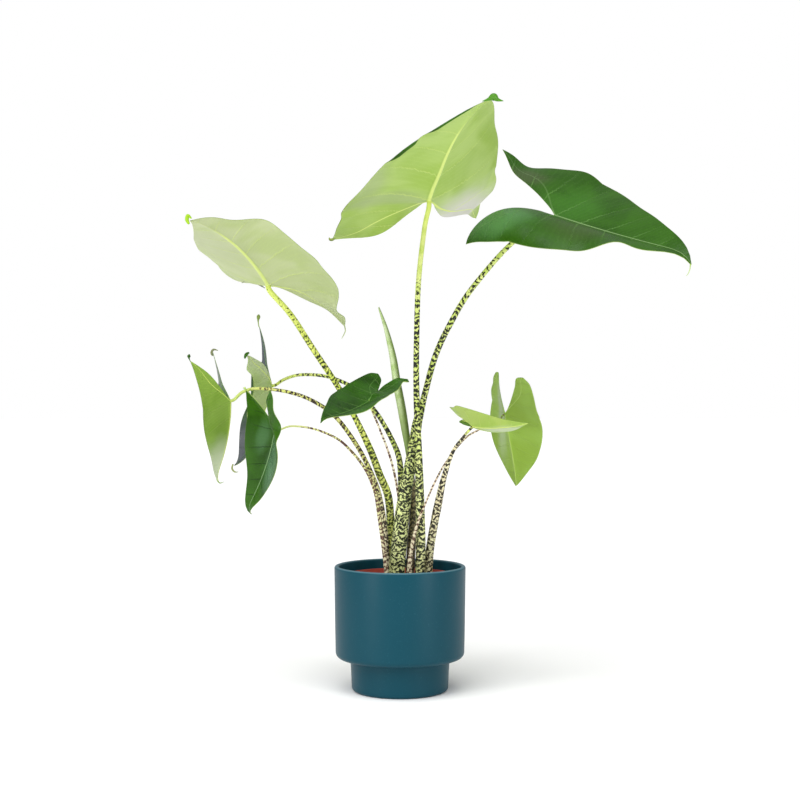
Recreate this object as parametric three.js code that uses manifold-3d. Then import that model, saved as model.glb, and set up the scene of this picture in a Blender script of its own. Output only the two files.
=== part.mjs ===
// A potted alocasia with striped stems: a cover pot, a nursery pot with soil, nine leaves and a new leaf.
// Millimetres, +Z up, the pot's axis on Z and its foot at Z = 0.
import * as THREE from "three";
import { mergeVertices } from "three/addons/utils/BufferGeometryUtils.js";
import Module from "manifold-3d";

// driving dimensions of the two pots and the soil
const coverPot = {
  height: 189.5, rimRadius: 100, bodyRadius: 98, stepHeight: 50, footTopRadius: 75.6, footRadius: 73.5,
  wall: 7, floor: 8, bodyRounding: 9, footRounding: 6, sides: 42,
};
const nurseryPot = {
  top: 175.5, rimRadius: 85, rimBandHeight: 18, bodyTopRadius: 77, bodyBottomRadius: 60, wall: 2, sides: 32,
};
const soilTop = 158;
const soilSides = 32;
const gap = 0.3;
const stemFoot = 150;
const stemStraight = 12;
const holeDepth = 40;
const holeSides = 16;
const holeClearance = 0.45;
const sheathTop = 300;
const sheathFade = 100;
const bladeThickness = 1;

// flat outline of half a leaf: x in half widths, y in blade lengths above the junction, in lobe lengths below
const marginShape = [
  [0, 1], [0.1, 0.9], [0.33, 0.7], [0.62, 0.47], [0.85, 0.25], [0.97, 0.03], [1, -0.25], [0.97, -0.6],
  [0.84, -1],
];
const sinusShape = [[0, 0], [0.1, -0.1], [0.27, -0.33], [0.5, -0.66], [0.84, -1]];
// the same with blunt lobes
const bluntMargin = [...marginShape.slice(0, 7), [1, -0.6], [0.96, -0.88], [0.8, -1]];
const bluntSinus = [...sinusShape.slice(0, 3), [0.47, -0.66], [0.58, -0.9], [0.8, -1]];

// leaf blades: at is where the stem joins, sizes in mm, angles in degrees, pairs are left and right half
// waves of the outer edge: half, place along it, reach, lift in mm, outward shift in mm
// inner: the same for the edges of the sinus
// lobeFold and lobeCup are added to fold and cup on the lobes, lobeNarrow is the width left of a rolled lobe
// apexTurn turns the blade about its midrib towards the apex, seatShift moves the junction along X in mm
const blades = {
  blade_1: {
    at: [49, 0, 746], length: 315, width: 143, lobe: 162, heading: -81, pitch: 33, roll: 9,
    fold: [9, 18], cup: [30, -40], droop: 30, sway: -1, twist: 32, hook: 7, rise: [18, 7],
    spread: [3, 37], seatShift: 5, waves: [
      [1, 0.53, 0.16, 8, 0], [1, 0.2, 0.15, -4, 0], [0, 0.6, 0.15, 0, 9], [0, 0.3, 0.12, 4, -7],
      [0, -0.12, 0.15, 4, -7], [0, -0.75, 0.15, 18, -3],
    ],
    inner: [
      [1, -0.25, 0.25, 10, -14], [1, -0.6, 0.25, -11, -4], [0, -0.3, 0.2, -8, -13], [0, -0.6, 0.25, 11, 17],
    ],
  },
  blade_2: {
    at: [238, 20, 725], length: 262, width: 119, lobe: 166, heading: -40, pitch: -20, roll: -14,
    fold: [48, -9], cup: [-9, -65], droop: -4, sway: 7, twist: 14, hook: 38, rise: [8, -60],
    spread: [-19, 18], waves: [
      [0, 0.85, 0.15, 3, 12], [0, 0.42, 0.2, -7, -4], [0, -0.2, 0.22, 12, 2], [0, -0.72, 0.15, -11, -5],
      [1, 0.83, 0.12, -20, 18], [1, 0.6, 0.1, 30, -16], [1, 0.47, 0.1, -12, 0],
    ],
    inner: [[1, -0.45, 0.3, 8, 0]],
  },
  blade_3: {
    at: [-199, -20, 614], length: 265, width: 113, lobe: 118, heading: 256, pitch: 28, roll: -5,
    fold: [33, 0], cup: [-62, 42], droop: 24, sway: 9, twist: 14, hook: 6, rise: [-4, 45],
    spread: [-2, -12], waves: [
      [0, 0.75, 0.1, -20, -16], [0, 0.6, 0.1, 25, 10], [0, 0.3, 0.12, -2, -8], [0, 0.05, 0.15, 0, 7],
      [0, -0.45, 0.2, -13, -12], [0, 0.24, 0.06, 0, 4], [0, 0.14, 0.06, 0, -6], [1, 0.7, 0.3, 0, 5],
      [1, 0.25, 0.15, -6, 2], [1, -0.12, 0.15, 5, 0],
    ],
    inner: [[0, -0.6, 0.25, 0, 16], [1, -0.5, 0.45, 24, 0]],
  },
  blade_4: {
    at: [-259, 4, 440], length: 138, width: 61, lobe: 81, heading: 92, pitch: -74, roll: -74,
    fold: [34, 47], cup: [-24, -8], droop: -26, sway: 2, twist: 13, hook: 34, rise: [40, 19],
    spread: [-12, 9], lobeFold: [0, 13], lobeCup: [0, -39], lobeNarrow: [1, 0.5], waves: [], inner: [],
  },
  blade_5: {
    at: [-202, 74, 464], length: 151, width: 64, lobe: 87, heading: 130, pitch: -67, roll: -60,
    fold: [29, 27], cup: [3, 5], droop: -17, sway: -1, twist: 20, hook: -24, rise: [48, 14],
    spread: [1, 3], lobeNarrow: [1, 0.3], apexTurn: 52, waves: [[0, -0.7, 0.15, 8, 0]], inner: [],
  },
  blade_6: {
    at: [-188, -25, 396], length: 152, width: 62, lobe: 80, heading: 115, pitch: -66, roll: -76,
    fold: [4, 31], cup: [-8, 18], droop: -21, sway: 3, twist: -25, hook: 60, rise: [27, 37],
    spread: [-6, 12], lobeFold: [52, 0], lobeCup: [-123, 0], waves: [
      [1, 0.9, 0.12, 0, 4], [1, 0.62, 0.15, -5, -4], [0, 0.78, 0.15, -3, 9], [0, -0.12, 0.15, 5, -1],
      [0, -0.6, 0.25, 0, -12],
    ], inner: [[1, -0.62, 0.42, 8.5, 0]],
  },
  blade_7: {
    at: [-47, -60, 439], length: 114, width: 51, lobe: 63, heading: 227, pitch: -23, roll: 8,
    fold: [9, 30], cup: [-8, 10], droop: -22, sway: -12, twist: -26, hook: 50, rise: [4, -1],
    spread: [24, -6], blunt: true, waves: [
      [1, 0.8, 0.2, 1, 11], [1, 0.45, 0.15, 2, 3], [0, 0.9, 0.12, 2, -6], [0, 0.5, 0.18, -5, 1],
      [0, 0.2, 0.12, 3, -1], [0, -0.7, 0.2, 7, 2],
    ],
    inner: [
      [1, -0.6, 0.3, -6, -6], [1, -0.3, 0.2, 0, -8], [1, -0.14, 0.12, 0, -4], [0, -0.5, 0.3, 9, -6],
      [0, -0.85, 0.2, 7, 0], [0, -0.14, 0.12, 5, -2],
    ],
  },
  blade_8: {
    at: [164, 50, 421], length: 149, width: 70, lobe: 85, heading: 62, pitch: -67, roll: 12,
    fold: [41, -7], cup: [-5, -6], droop: -21, sway: -11, twist: -46, hook: -22, rise: [47, -18],
    spread: [9, 8], blunt: true, waves: [
      [0, 0.5, 0.25, -2, 4], [0, -0.7, 0.2, 4, 0], [1, 0.68, 0.2, -1, 7], [1, 0.05, 0.2, 5, 2],
    ], inner: [],
  },
  blade_9: {
    at: [109, -40, 402], length: 113, width: 43, lobe: 62, heading: -59, pitch: -5, roll: -51,
    fold: [30, 3], cup: [16, -14], droop: -25, sway: -2, twist: 5, hook: -8, rise: [-9, 32],
    spread: [-13, -40], lobeFold: [63, 0], lobeCup: [-130, 0], lobeNarrow: [1, 0.7], waves: [
      [1, 0.9, 0.12, 1, 6], [0, 0.8, 0.2, -2, 8], [0, 0.4, 0.2, 3, -1],
    ], inner: [],
  },
};

// leaf stems from the soil up: x, y, z and half width in mm, flatness is depth over width at the foot
const petioles = {
  petiole_1: {
    blade: "blade_1", sides: 10, flatness: 1, path: [
      [30.3, -6, 180, 7.5], [31.5, -6, 221, 7.4], [30.5, -6, 282, 6.8], [29, -5, 335, 6.1], [27, -4, 396, 5],
      [25, -3, 455, 4.6], [25, -2, 518, 4.3], [28, -1, 618, 4], [37, 0, 701, 3.7],
    ],
  },
  petiole_2: {
    blade: "blade_2", sides: 12, flatness: 0.55, path: [
      [-5, 9, 178, 12.4], [-1, 9, 224, 12.1], [3, 9, 262, 11.5], [9, 9, 305, 10], [15, 10, 337, 9.2],
      [22.5, 12, 380, 8.4], [26.3, 13, 405, 7.6], [32.5, 14, 428, 5.6], [38, 16, 450, 4.8],
      [54, 19, 508, 4.6], [76, 20, 556, 4.5], [110, 22, 612, 4.2], [174, 34, 685, 3.8],
    ],
  },
  petiole_3: {
    blade: "blade_3", sides: 10, flatness: 1, path: [
      [-11, 24, 176, 6.1], [-14, 24, 241, 6.1], [-18, 22, 292, 6.1], [-31, 19, 326, 5.8],
      [-46, 15, 366, 5.3], [-70, 8, 417, 4.4], [-96, 2, 464, 4.4], [-132, -8, 519, 4.4],
      [-165, -14, 570, 4.3],
    ],
  },
  petiole_4: {
    blade: "blade_4", sides: 8, flatness: 1, path: [
      [-18, 16, 178, 3.8], [-23, 14, 243, 3.8], [-30, 11, 288, 3.8], [-40, 9, 320, 3.8], [-63, 8, 367, 3.5],
      [-97, 8, 414, 3.3], [-133, 5, 440, 2.9], [-172, 0, 454, 2.6], [-216, -2, 459, 2.4],
      [-239, 0, 454, 2.4],
    ],
  },
  petiole_5: {
    blade: "blade_5", sides: 8, flatness: 1, path: [
      [2, 38, 175, 5], [2, 38, 240, 5], [2, 37, 302, 5], [-1, 36, 349, 4.6], [-12, 36, 379, 4],
      [-27, 36, 407, 3.6], [-43, 38, 430, 3.4], [-65, 44, 455, 3], [-86, 51, 468, 2.9],
      [-118, 59, 479, 2.6], [-157, 66, 481, 2.4], [-182, 70, 474, 2.4],
    ],
  },
  petiole_6: {
    blade: "blade_6", sides: 8, flatness: 1, path: [
      [-21, -4, 180, 3.2], [-25, -4, 216, 3.1], [-32, -4, 267, 3], [-38, -4, 302, 2.7],
      [-53, -6, 337, 2.3], [-76, -10, 366, 2], [-97, -14, 384, 1.8], [-131, -19, 398, 1.6],
      [-163, -23, 402, 1.5],
    ],
  },
  petiole_7: {
    blade: "blade_7", sides: 6, flatness: 1, path: [
      [0, 20, 177, 2], [0, 20, 241, 1.9], [-2, 17, 288, 1.8], [-9, 6, 331, 1.8], [-18, -10, 364, 1.7],
      [-31, -32, 399, 1.6], [-40, -49, 422, 1.5],
    ],
  },
  petiole_8: {
    blade: "blade_8", sides: 6, flatness: 1, path: [
      [14, -18, 182, 4], [17, -18, 215, 2.9], [26, -17, 253, 2.3], [39, -14, 286, 1.5],
      [53, -9, 317, 1.5], [71, 0, 348, 1.4], [98.5, 16, 381, 1.4], [121, 28, 395, 1.4], [151, 44, 407, 1.4],
    ],
  },
  petiole_9: {
    blade: "blade_9", sides: 8, flatness: 1, path: [
      [43, 6, 179, 6.5], [46, 5, 215, 6.4], [53, 2, 257, 6.2], [58, 0, 282, 6.1], [67, -13, 326, 4.3],
      [80, -24, 364, 2.7], [96, -33, 387, 2.1],
    ],
  },
};
const newLeaf = {
  stem: [
    [15.6, 26, 180, 6.8], [18, 26, 222, 6.8], [21, 26, 258, 6.6], [20.5, 25, 297, 5.2], [17, 24, 330, 4.4],
    [14.5, 24, 352.4, 4],
  ],
  roll: [
    [14.3, 24, 353, 4.2], [11.3, 23, 374, 4.8], [7.5, 22, 398, 5.7], [2, 21, 431, 6.1], [-5, 20, 468, 5.9],
    [-11.3, 19, 509, 4.9], [-22, 17, 552, 2.9], [-33, 16, 584, 0.8],
  ],
};

// rows of the mesh along the blade and the lobes, steps from the midrib to the edge
const largeGrid = {
  blade: [0.97, 0.91, 0.83, 0.74, 0.64, 0.54, 0.44, 0.34, 0.24, 0.15, 0.07, 0],
  lobe: [-0.08, -0.18, -0.3, -0.43, -0.57, -0.71, -0.84, -0.94],
  across: [0, 0.06, 0.17, 0.36, 0.56, 0.78, 1],
};
const smallGrid = {
  blade: [0.96, 0.87, 0.75, 0.62, 0.48, 0.34, 0.2, 0.08, 0],
  lobe: [-0.12, -0.28, -0.46, -0.65, -0.82, -0.94],
  across: [0, 0.08, 0.26, 0.5, 0.75, 1],
};
const largeBlade = 200;

// how far down a lobe its own fold, cup and rolling are full, and where across it the rolled lobe lies
const lobeTurned = 0.35;
const rolledTo = 0.25;
// where along the blade the turn of the apex starts and ends
const apexStart = 0.25;
const apexEnd = 0.8;
// how far along the blade and the lobes the shift of the junction fades out
const seatReach = 0.25;

// the midrib's ridge on the underside: reach in mm, height as a share of the blade, share lost at the apex
const ribReach = 4;
const ribShare = 1 / 120;
const ribTaper = 0.85;
const sinusFade = 0.12;

// where a stem bends in under a large and a small blade: mm below the blade and back along the stem
const largeNeck = { below: 4, back: 9 };
const smallNeck = { below: 2.6, back: 5 };
const stemSeat = 0.35;

// colour, roughness and metalness of each material
const looks = {
  cover_pot: [0x24545f, 0.45, 0],
  nursery_pot: [0xaf3e34, 0.6, 0],
  soil: [0x33261c, 0.95, 0],
  blade: [0x3f7d33, 0.45, 0],
  petiole: [0xc9dc6a, 0.5, 0],
  new_leaf: [0xa9bd84, 0.5, 0],
  new_leaf_stem: [0x8f8a63, 0.6, 0],
};

const rad = Math.PI / 180;

// smooth curve through lists of numbers, t from 0 at the first to 1 at the last
function curveThrough(points, t) {
  const last = points.length - 1;
  const place = Math.min(Math.max(t, 0), 1) * last;
  const i = Math.min(Math.floor(place), last - 1);
  const w = place - i;
  const p0 = points[Math.max(i - 1, 0)];
  const p1 = points[i];
  const p2 = points[i + 1];
  const p3 = points[Math.min(i + 2, last)];
  return p1.map((b, k) => {
    const c = p2[k];
    const v0 = (c - p0[k]) / 2;
    const v1 = (p3[k] - b) / 2;
    return (2 * b - 2 * c + v0 + v1) * w ** 3 + (3 * c - 3 * b - 2 * v0 - v1) * w ** 2 + v0 * w + b;
  });
}

// x of a falling outline where it crosses a height y
function crossingAt(points, y) {
  let low = 0;
  let high = 1;
  for (let n = 0; n < 40; n += 1) {
    const mid = (low + high) / 2;
    if (curveThrough(points, mid)[1] > y) low = mid;
    else high = mid;
  }
  return Math.max(curveThrough(points, low)[0], 0);
}

// how a leaf is turned: its X runs across, its Y along the midrib, its Z out of the upper face
function leafTurn(form) {
  const h = form.heading * rad;
  const p = form.pitch * rad;
  const along = new THREE.Vector3(Math.cos(p) * Math.cos(h), Math.cos(p) * Math.sin(h), Math.sin(p));
  const upper = new THREE.Vector3(-Math.sin(p) * Math.cos(h), -Math.sin(p) * Math.sin(h), Math.cos(p));
  upper.applyAxisAngle(along, form.roll * rad);
  return new THREE.Matrix4().makeBasis(along.clone().cross(upper), along, upper);
}

// places and frames along the midrib or back along a lobe, turned step by step
function spineOf(size, sign, turns) {
  const steps = 20;
  const hookFrom = 0.8;
  const spot = new THREE.Vector3();
  const across = new THREE.Vector3(1, 0, 0);
  const along = new THREE.Vector3(0, 1, 0);
  const upper = new THREE.Vector3(0, 0, 1);
  const rows = [{ spot: spot.clone(), upper: upper.clone(), across: across.clone() }];
  for (let k = 0; k < steps; k += 1) {
    const u = (k + 0.5) / steps;
    const hooked = (Math.max(0, (u - hookFrom) / (1 - hookFrom)) * 2 * turns.hook) / (steps * (1 - hookFrom));
    const bend = -(turns.bend / steps + hooked) * rad * sign;
    const side = (-turns.side / steps) * rad * sign;
    const twist = (turns.twist / steps) * rad * sign;
    along.applyAxisAngle(across, bend);
    upper.applyAxisAngle(across, bend);
    along.applyAxisAngle(upper, side);
    across.applyAxisAngle(upper, side);
    upper.applyAxisAngle(along, twist);
    across.applyAxisAngle(along, twist);
    spot.addScaledVector(along, (size / steps) * sign);
    rows.push({ spot: spot.clone(), upper: upper.clone(), across: across.clone() });
  }
  return rows;
}

// lift and outward shift that a list of waves gives one half at a place along it
function waveAt(waves, half, y) {
  let lift = 0;
  let out = 0;
  for (const [waveHalf, at, reach, waveLift, waveOut] of waves) {
    if (waveHalf !== half) continue;
    const near = Math.exp(-(((y - at) / reach) ** 2));
    lift += waveLift * near;
    out += waveOut * near;
  }
  return { lift, out };
}

// middle surface of a blade: x in half widths, y in blade or lobe lengths, fromSinus 0 at the sinus edge
function leafSurface(form) {
  const midrib = spineOf(form.length, 1, {
    bend: form.droop, side: form.sway, twist: form.twist, hook: form.hook,
  });
  const lobes = [-1, 1].map((side, half) => spineOf(form.lobe, -1, {
    bend: -form.rise[half], side: side * form.spread[half], twist: 0, hook: 0,
  }));
  return (x, y, half, fromSinus = 1) => {
    const edge = waveAt(form.waves, half, y);
    const inner = waveAt(form.inner, half, y);
    const innerShare = (1 - fromSinus) ** 2 * Math.min(1, Math.max(-y, 0) / sinusFade);
    const onLobe = THREE.MathUtils.smoothstep(-y, 0, lobeTurned);
    const fold = (form.fold[half] + onLobe * (form.lobeFold ?? [0, 0])[half]) * rad;
    const cup = ((form.cup[half] || 0.1) + onLobe * (form.lobeCup ?? [0, 0])[half]) * rad;
    const radius = form.width / cup;
    const turn = fold + cup * x;
    const over = radius * (Math.sin(turn) - Math.sin(fold)) + edge.out * x * Math.cos(turn);
    const high = radius * (Math.cos(fold) - Math.cos(turn)) + edge.out * x * Math.sin(turn);
    const rows = y >= 0 ? midrib : lobes[half];
    const place = Math.min(Math.abs(y), 1) * (rows.length - 1);
    const i = Math.min(Math.floor(place), rows.length - 2);
    const mix = (name) => rows[i][name].clone().lerp(rows[i + 1][name], place - i);
    const apexTurn = (form.apexTurn ?? 0) * rad * THREE.MathUtils.smoothstep(y, apexStart, apexEnd);
    const across = mix("across").multiplyScalar(Math.cos(apexTurn))
      .addScaledVector(mix("upper"), Math.sin(apexTurn));
    const upper = mix("upper").multiplyScalar(Math.cos(apexTurn))
      .addScaledVector(mix("across"), -Math.sin(apexTurn));
    const spot = mix("spot");
    spot.x += (form.seatShift ?? 0) * (1 - THREE.MathUtils.smoothstep(Math.abs(y), 0, seatReach));
    return spot
      .addScaledVector(across, (over + inner.out * innerShare) * (half === 0 ? -1 : 1))
      .addScaledVector(upper, high + edge.lift * x ** 2 + inner.lift * innerShare);
  };
}

// a blade: two halves that share the midrib, parted by the sinus behind the junction
function bladeGeometry(form) {
  const grid = form.length > largeBlade ? largeGrid : smallGrid;
  const surface = leafSurface(form);
  const points = [];
  const ribs = [];
  const faces = [];
  const put = (x, y, half, fromSinus) => {
    const away = y >= 0 ? x * form.width : Math.hypot(x * form.width, y * form.lobe);
    points.push(surface(x, y, half, fromSinus));
    ribs.push(form.length * ribShare * Math.exp(-((away / ribReach) ** 2)) * (1 - ribTaper * Math.max(y, 0)));
    return points.length - 1;
  };
  const strip = (outerRow, innerRow, half) => {
    const add = (a, b, c) => {
      if (a === b || b === c || a === c) return;
      faces.push(half === 0 ? [a, c, b] : [a, b, c]);
    };
    for (let k = 0; k + 1 < outerRow.length; k += 1) {
      add(outerRow[k], innerRow[k], innerRow[k + 1]);
      add(outerRow[k], innerRow[k + 1], outerRow[k + 1]);
    }
  };
  const margin = form.blunt ? bluntMargin : marginShape;
  const sinus = form.blunt ? bluntSinus : sinusShape;
  const apex = put(0, 1, 0);
  const midrib = grid.blade.map((y) => put(0, y, 0));
  for (const half of [0, 1]) {
    let before = grid.across.map(() => apex);
    grid.blade.forEach((y, n) => {
      const edge = crossingAt(margin, y);
      const row = grid.across.map((f, k) => (k === 0 ? midrib[n] : put(f * edge, y, half)));
      strip(before, row, half);
      before = row;
    });
    for (const y of grid.lobe) {
      const whole = [crossingAt(sinus, y), crossingAt(margin, y)];
      const middle = THREE.MathUtils.lerp(...whole, rolledTo);
      const narrowed = (form.lobeNarrow ?? [1, 1])[half] - 1;
      const kept = THREE.MathUtils.smoothstep(-y, 0, lobeTurned) * narrowed + 1;
      const [inner, edge] = whole.map((x) => middle + (x - middle) * kept);
      const row = grid.across.map((f) => put(inner + f * (edge - inner), y, half, f));
      strip(before, row, half);
      before = row;
    }
    const tip = put(margin[margin.length - 1][0], -1, half);
    strip(before, grid.across.map(() => tip), half);
  }
  return thicken(points, faces, ribs);
}

// a sheet given thickness: the same triangles on both faces and a wall round the open edges
function thicken(points, faces, ribs) {
  const normals = points.map(() => new THREE.Vector3());
  for (const [a, b, c] of faces) {
    const normal = points[b].clone().sub(points[a]).cross(points[c].clone().sub(points[a]));
    for (const v of [a, b, c]) normals[v].add(normal);
  }
  const count = points.length;
  const half = bladeThickness / 2;
  const above = points.map((p, v) => p.clone().addScaledVector(normals[v].normalize(), half));
  const below = points.map((p, v) => p.clone().addScaledVector(normals[v], -half - ribs[v]));
  const index = [];
  const rim = new Map();
  for (const [a, b, c] of faces) {
    index.push(a, b, c, a + count, c + count, b + count);
    for (const [from, to] of [[a, b], [b, c], [c, a]]) {
      if (rim.has(`${to},${from}`)) rim.delete(`${to},${from}`);
      else rim.set(`${from},${to}`, [from, to]);
    }
  }
  for (const [from, to] of rim.values()) {
    index.push(from, from + count, to + count, from, to + count, to);
  }
  const geometry = new THREE.BufferGeometry().setFromPoints([...above, ...below]);
  geometry.setIndex(index);
  return geometry;
}

// a cylinder bent along its stations; its width lies across the view and its depth along Y
function stemGeometry(stations, sides, flatness, cut) {
  const line = new THREE.CatmullRomCurve3(stations.map(([x, y, z]) => new THREE.Vector3(x, y, z)));
  const widths = stations.map(([, , , half]) => [half]);
  const geometry = new THREE.CylinderGeometry(1, 1, 1, sides, (stations.length - 1) * 2);
  const position = geometry.getAttribute("position");
  const corner = new THREE.Vector3();
  for (let v = 0; v < position.count; v += 1) {
    corner.fromBufferAttribute(position, v);
    const t = corner.y + 0.5;
    const at = line.getPoint(t);
    const along = t < 0.001 ? new THREE.Vector3(0, 0, 1) : line.getTangent(t);
    const wide = new THREE.Vector3(0, 1, 0).cross(along).normalize();
    const deep = wide.clone().cross(along);
    const half = curveThrough(widths, t)[0];
    const roundness = THREE.MathUtils.clamp((at.z - sheathTop) / sheathFade, 0, 1);
    at.addScaledVector(wide, corner.x * half);
    at.addScaledVector(deep, corner.z * half * THREE.MathUtils.lerp(flatness, 1, roundness));
    if (cut && t > 0.999) {
      const away = cut.depth + at.clone().sub(cut.at).dot(cut.upper);
      at.addScaledVector(along, -away / along.dot(cut.upper));
    }
    position.setXYZ(v, at.x, at.y, at.z);
  }
  return closed(geometry);
}

function closed(geometry) {
  geometry.deleteAttribute("normal");
  geometry.deleteAttribute("uv");
  return mergeVertices(geometry, 0.0001);
}

function fromSoil(path) {
  const [x, y, , half] = path[0];
  return [[x, y, stemFoot, half], [x, y, stemFoot + stemStraight, half], ...path];
}

// a leaf stem ends just under its blade, cut along the blade's underside
function petioleGeometry(stem) {
  const form = blades[stem.blade];
  const across = new THREE.Vector3().setFromMatrixColumn(leafTurn(form), 0);
  const upper = new THREE.Vector3().setFromMatrixColumn(leafTurn(form), 2);
  const depth = bladeThickness / 2 + form.length * ribShare + stemSeat;
  const at = new THREE.Vector3(...form.at).addScaledVector(across, form.seatShift ?? 0);
  const [x, y, z, half] = stem.path[stem.path.length - 1];
  const from = new THREE.Vector3(x, y, z).sub(at).normalize();
  const neck = form.length > largeBlade ? largeNeck : smallNeck;
  const near = at.clone().addScaledVector(upper, -neck.below).addScaledVector(from, neck.back);
  const end = at.clone().addScaledVector(upper, -depth);
  const width = Math.min(half, form.length / 80 + 0.6);
  return stemGeometry([
    ...fromSoil(stem.path), [near.x, near.y, near.z, (half + width) / 2], [end.x, end.y, end.z, width],
  ], stem.sides, stem.flatness, { at, upper, depth });
}

function turned(profile, sides) {
  const outline = profile.map(([r, z]) => new THREE.Vector2(r, z));
  return closed(new THREE.LatheGeometry(outline, sides).rotateX(Math.PI / 2));
}

function arc(centreR, centreZ, radius, from, to, steps) {
  return Array.from({ length: steps + 1 }, (_, n) => {
    const a = (from + ((to - from) * n) / steps) * rad;
    return [centreR + radius * Math.cos(a), centreZ + radius * Math.sin(a)];
  });
}

function coverPotGeometry() {
  const c = coverPot;
  const lip = c.wall / 2;
  const inner = c.rimRadius - c.wall;
  const ledge = c.stepHeight + c.wall;
  return turned([
    [0, 0], ...arc(c.footRadius - c.footRounding, c.footRounding, c.footRounding, -90, 0, 4),
    [c.footTopRadius, c.stepHeight - 2], [c.footTopRadius + 2, c.stepHeight],
    ...arc(c.bodyRadius - c.bodyRounding, c.stepHeight + c.bodyRounding, c.bodyRounding, -90, 0, 5),
    ...arc(c.rimRadius - lip, c.height - lip, lip, 0, 180, 6),
    [inner - 2, ledge + 6], [inner - 6, ledge + 1], [inner - 12, ledge],
    [c.footTopRadius - 5, ledge - 1], [c.footTopRadius - c.wall, c.stepHeight + 1],
    [c.footRadius - c.wall, c.floor + 5], [c.footRadius - c.wall - 4, c.floor], [0, c.floor],
  ], c.sides);
}

function nurseryPotGeometry() {
  const n = nurseryPot;
  const foot = coverPot.floor + gap;
  const band = n.top - n.rimBandHeight;
  return turned([
    [0, foot], [n.bodyBottomRadius - 2, foot], [n.bodyBottomRadius, foot + 2], [n.bodyTopRadius, band - 1.5],
    [n.rimRadius - 1.4, band], [n.rimRadius, n.top - 1], [n.rimRadius - 0.7, n.top],
    [n.rimRadius - n.wall, n.top], [n.rimRadius - n.wall - 0.8, n.top - 1.2],
    [n.rimRadius - 1.4 - n.wall, band + 2], [n.bodyTopRadius - n.wall, band - 3],
    [n.bodyBottomRadius - n.wall, foot + 4], [n.bodyBottomRadius - n.wall - 1.5, foot + n.wall],
    [0, foot + n.wall],
  ], n.sides);
}

function soilBody() {
  const n = nurseryPot;
  const foot = coverPot.floor + n.wall + gap * 2;
  const edge = n.bodyTopRadius - n.wall - 0.5;
  return turned([
    [0, foot], [n.bodyBottomRadius - n.wall - 2.4, foot], [n.bodyBottomRadius - n.wall - 0.5, foot + 2.4],
    [edge, n.top - n.rimBandHeight - 3.4], [edge, soilTop - 2], [edge - 8, soilTop - 0.5], [0, soilTop],
  ], soilSides);
}

const wasm = await Module();
wasm.setup();

function solidOf(geometry) {
  const vertProperties = Float32Array.from(geometry.getAttribute("position").array);
  const triVerts = Uint32Array.from(geometry.getIndex().array);
  return new wasm.Manifold(new wasm.Mesh({ numProp: 3, vertProperties, triVerts }));
}

function geometryOf(solid) {
  const mesh = solid.getMesh();
  const geometry = new THREE.BufferGeometry();
  geometry.setAttribute("position", new THREE.BufferAttribute(mesh.vertProperties, mesh.numProp));
  geometry.setIndex(Array.from(mesh.triVerts));
  return geometry;
}

// the soil with one plain hole for each stem
function soilGeometry() {
  const stems = [...Object.values(petioles), { path: newLeaf.stem, flatness: 1 }];
  const soil = stems.reduce((rest, stem) => {
    const [x, y, , half] = stem.path[0];
    const across = half + holeClearance;
    const deep = half * stem.flatness + holeClearance;
    const hole = new THREE.CylinderGeometry(1, 1, holeDepth, holeSides).rotateX(Math.PI / 2);
    hole.scale(across, deep, 1);
    hole.translate(x, y, stemFoot - gap + holeDepth / 2);
    return rest.subtract(solidOf(closed(hole)));
  }, solidOf(soilBody()));
  return geometryOf(soil);
}

const group = new THREE.Group();

function add(name, geometry, look) {
  const [color, roughness, metalness] = looks[look];
  const mesh = new THREE.Mesh(geometry, new THREE.MeshStandardMaterial({ color, roughness, metalness }));
  mesh.name = name;
  group.add(mesh);
  return mesh;
}

add("cover_pot", coverPotGeometry(), "cover_pot");
add("nursery_pot", nurseryPotGeometry(), "nursery_pot");
add("soil", soilGeometry(), "soil");
for (const [name, stem] of Object.entries(petioles)) {
  add(name, petioleGeometry(stem), "petiole");
}
for (const [name, form] of Object.entries(blades)) {
  const blade = add(name, bladeGeometry(form), "blade");
  blade.position.set(...form.at);
  blade.quaternion.setFromRotationMatrix(leafTurn(form));
}
add("new_leaf_stem", stemGeometry(fromSoil(newLeaf.stem), 8, 1), "new_leaf_stem");
add("new_leaf", stemGeometry(newLeaf.roll, 10, 1), "new_leaf");

export default group;
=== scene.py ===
# Potted alocasia: finer leaves, stems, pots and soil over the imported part
from math import cos, exp, hypot, pi, radians, sin, sqrt
import bmesh
import bpy
from mathutils import Matrix, Quaternion, Vector, noise


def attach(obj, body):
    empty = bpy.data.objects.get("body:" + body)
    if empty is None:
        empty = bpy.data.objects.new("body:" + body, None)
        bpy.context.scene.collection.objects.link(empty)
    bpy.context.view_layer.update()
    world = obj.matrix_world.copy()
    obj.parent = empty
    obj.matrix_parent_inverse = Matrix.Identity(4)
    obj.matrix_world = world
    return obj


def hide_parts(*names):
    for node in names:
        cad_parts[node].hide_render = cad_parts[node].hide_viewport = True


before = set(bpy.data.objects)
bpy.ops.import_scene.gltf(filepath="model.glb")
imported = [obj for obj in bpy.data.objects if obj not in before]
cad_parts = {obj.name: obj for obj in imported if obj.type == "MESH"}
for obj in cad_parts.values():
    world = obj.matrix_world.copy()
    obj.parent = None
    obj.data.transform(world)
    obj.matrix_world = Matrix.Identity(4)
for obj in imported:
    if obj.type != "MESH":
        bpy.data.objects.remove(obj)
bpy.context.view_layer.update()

mm = 0.001
tiny = mm / 1000  # points this near are joined

view = {"place": (0, -2.134, 0.4415), "lens": 63, "sensor": 36}
camera = bpy.data.objects.new("camera", bpy.data.cameras.new("camera"))
camera.location = view["place"]
camera.rotation_euler = (radians(90), 0, 0)
camera.data.lens = view["lens"]
camera.data.sensor_width = view["sensor"]
bpy.context.collection.objects.link(camera)
bpy.context.scene.camera = camera

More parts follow.
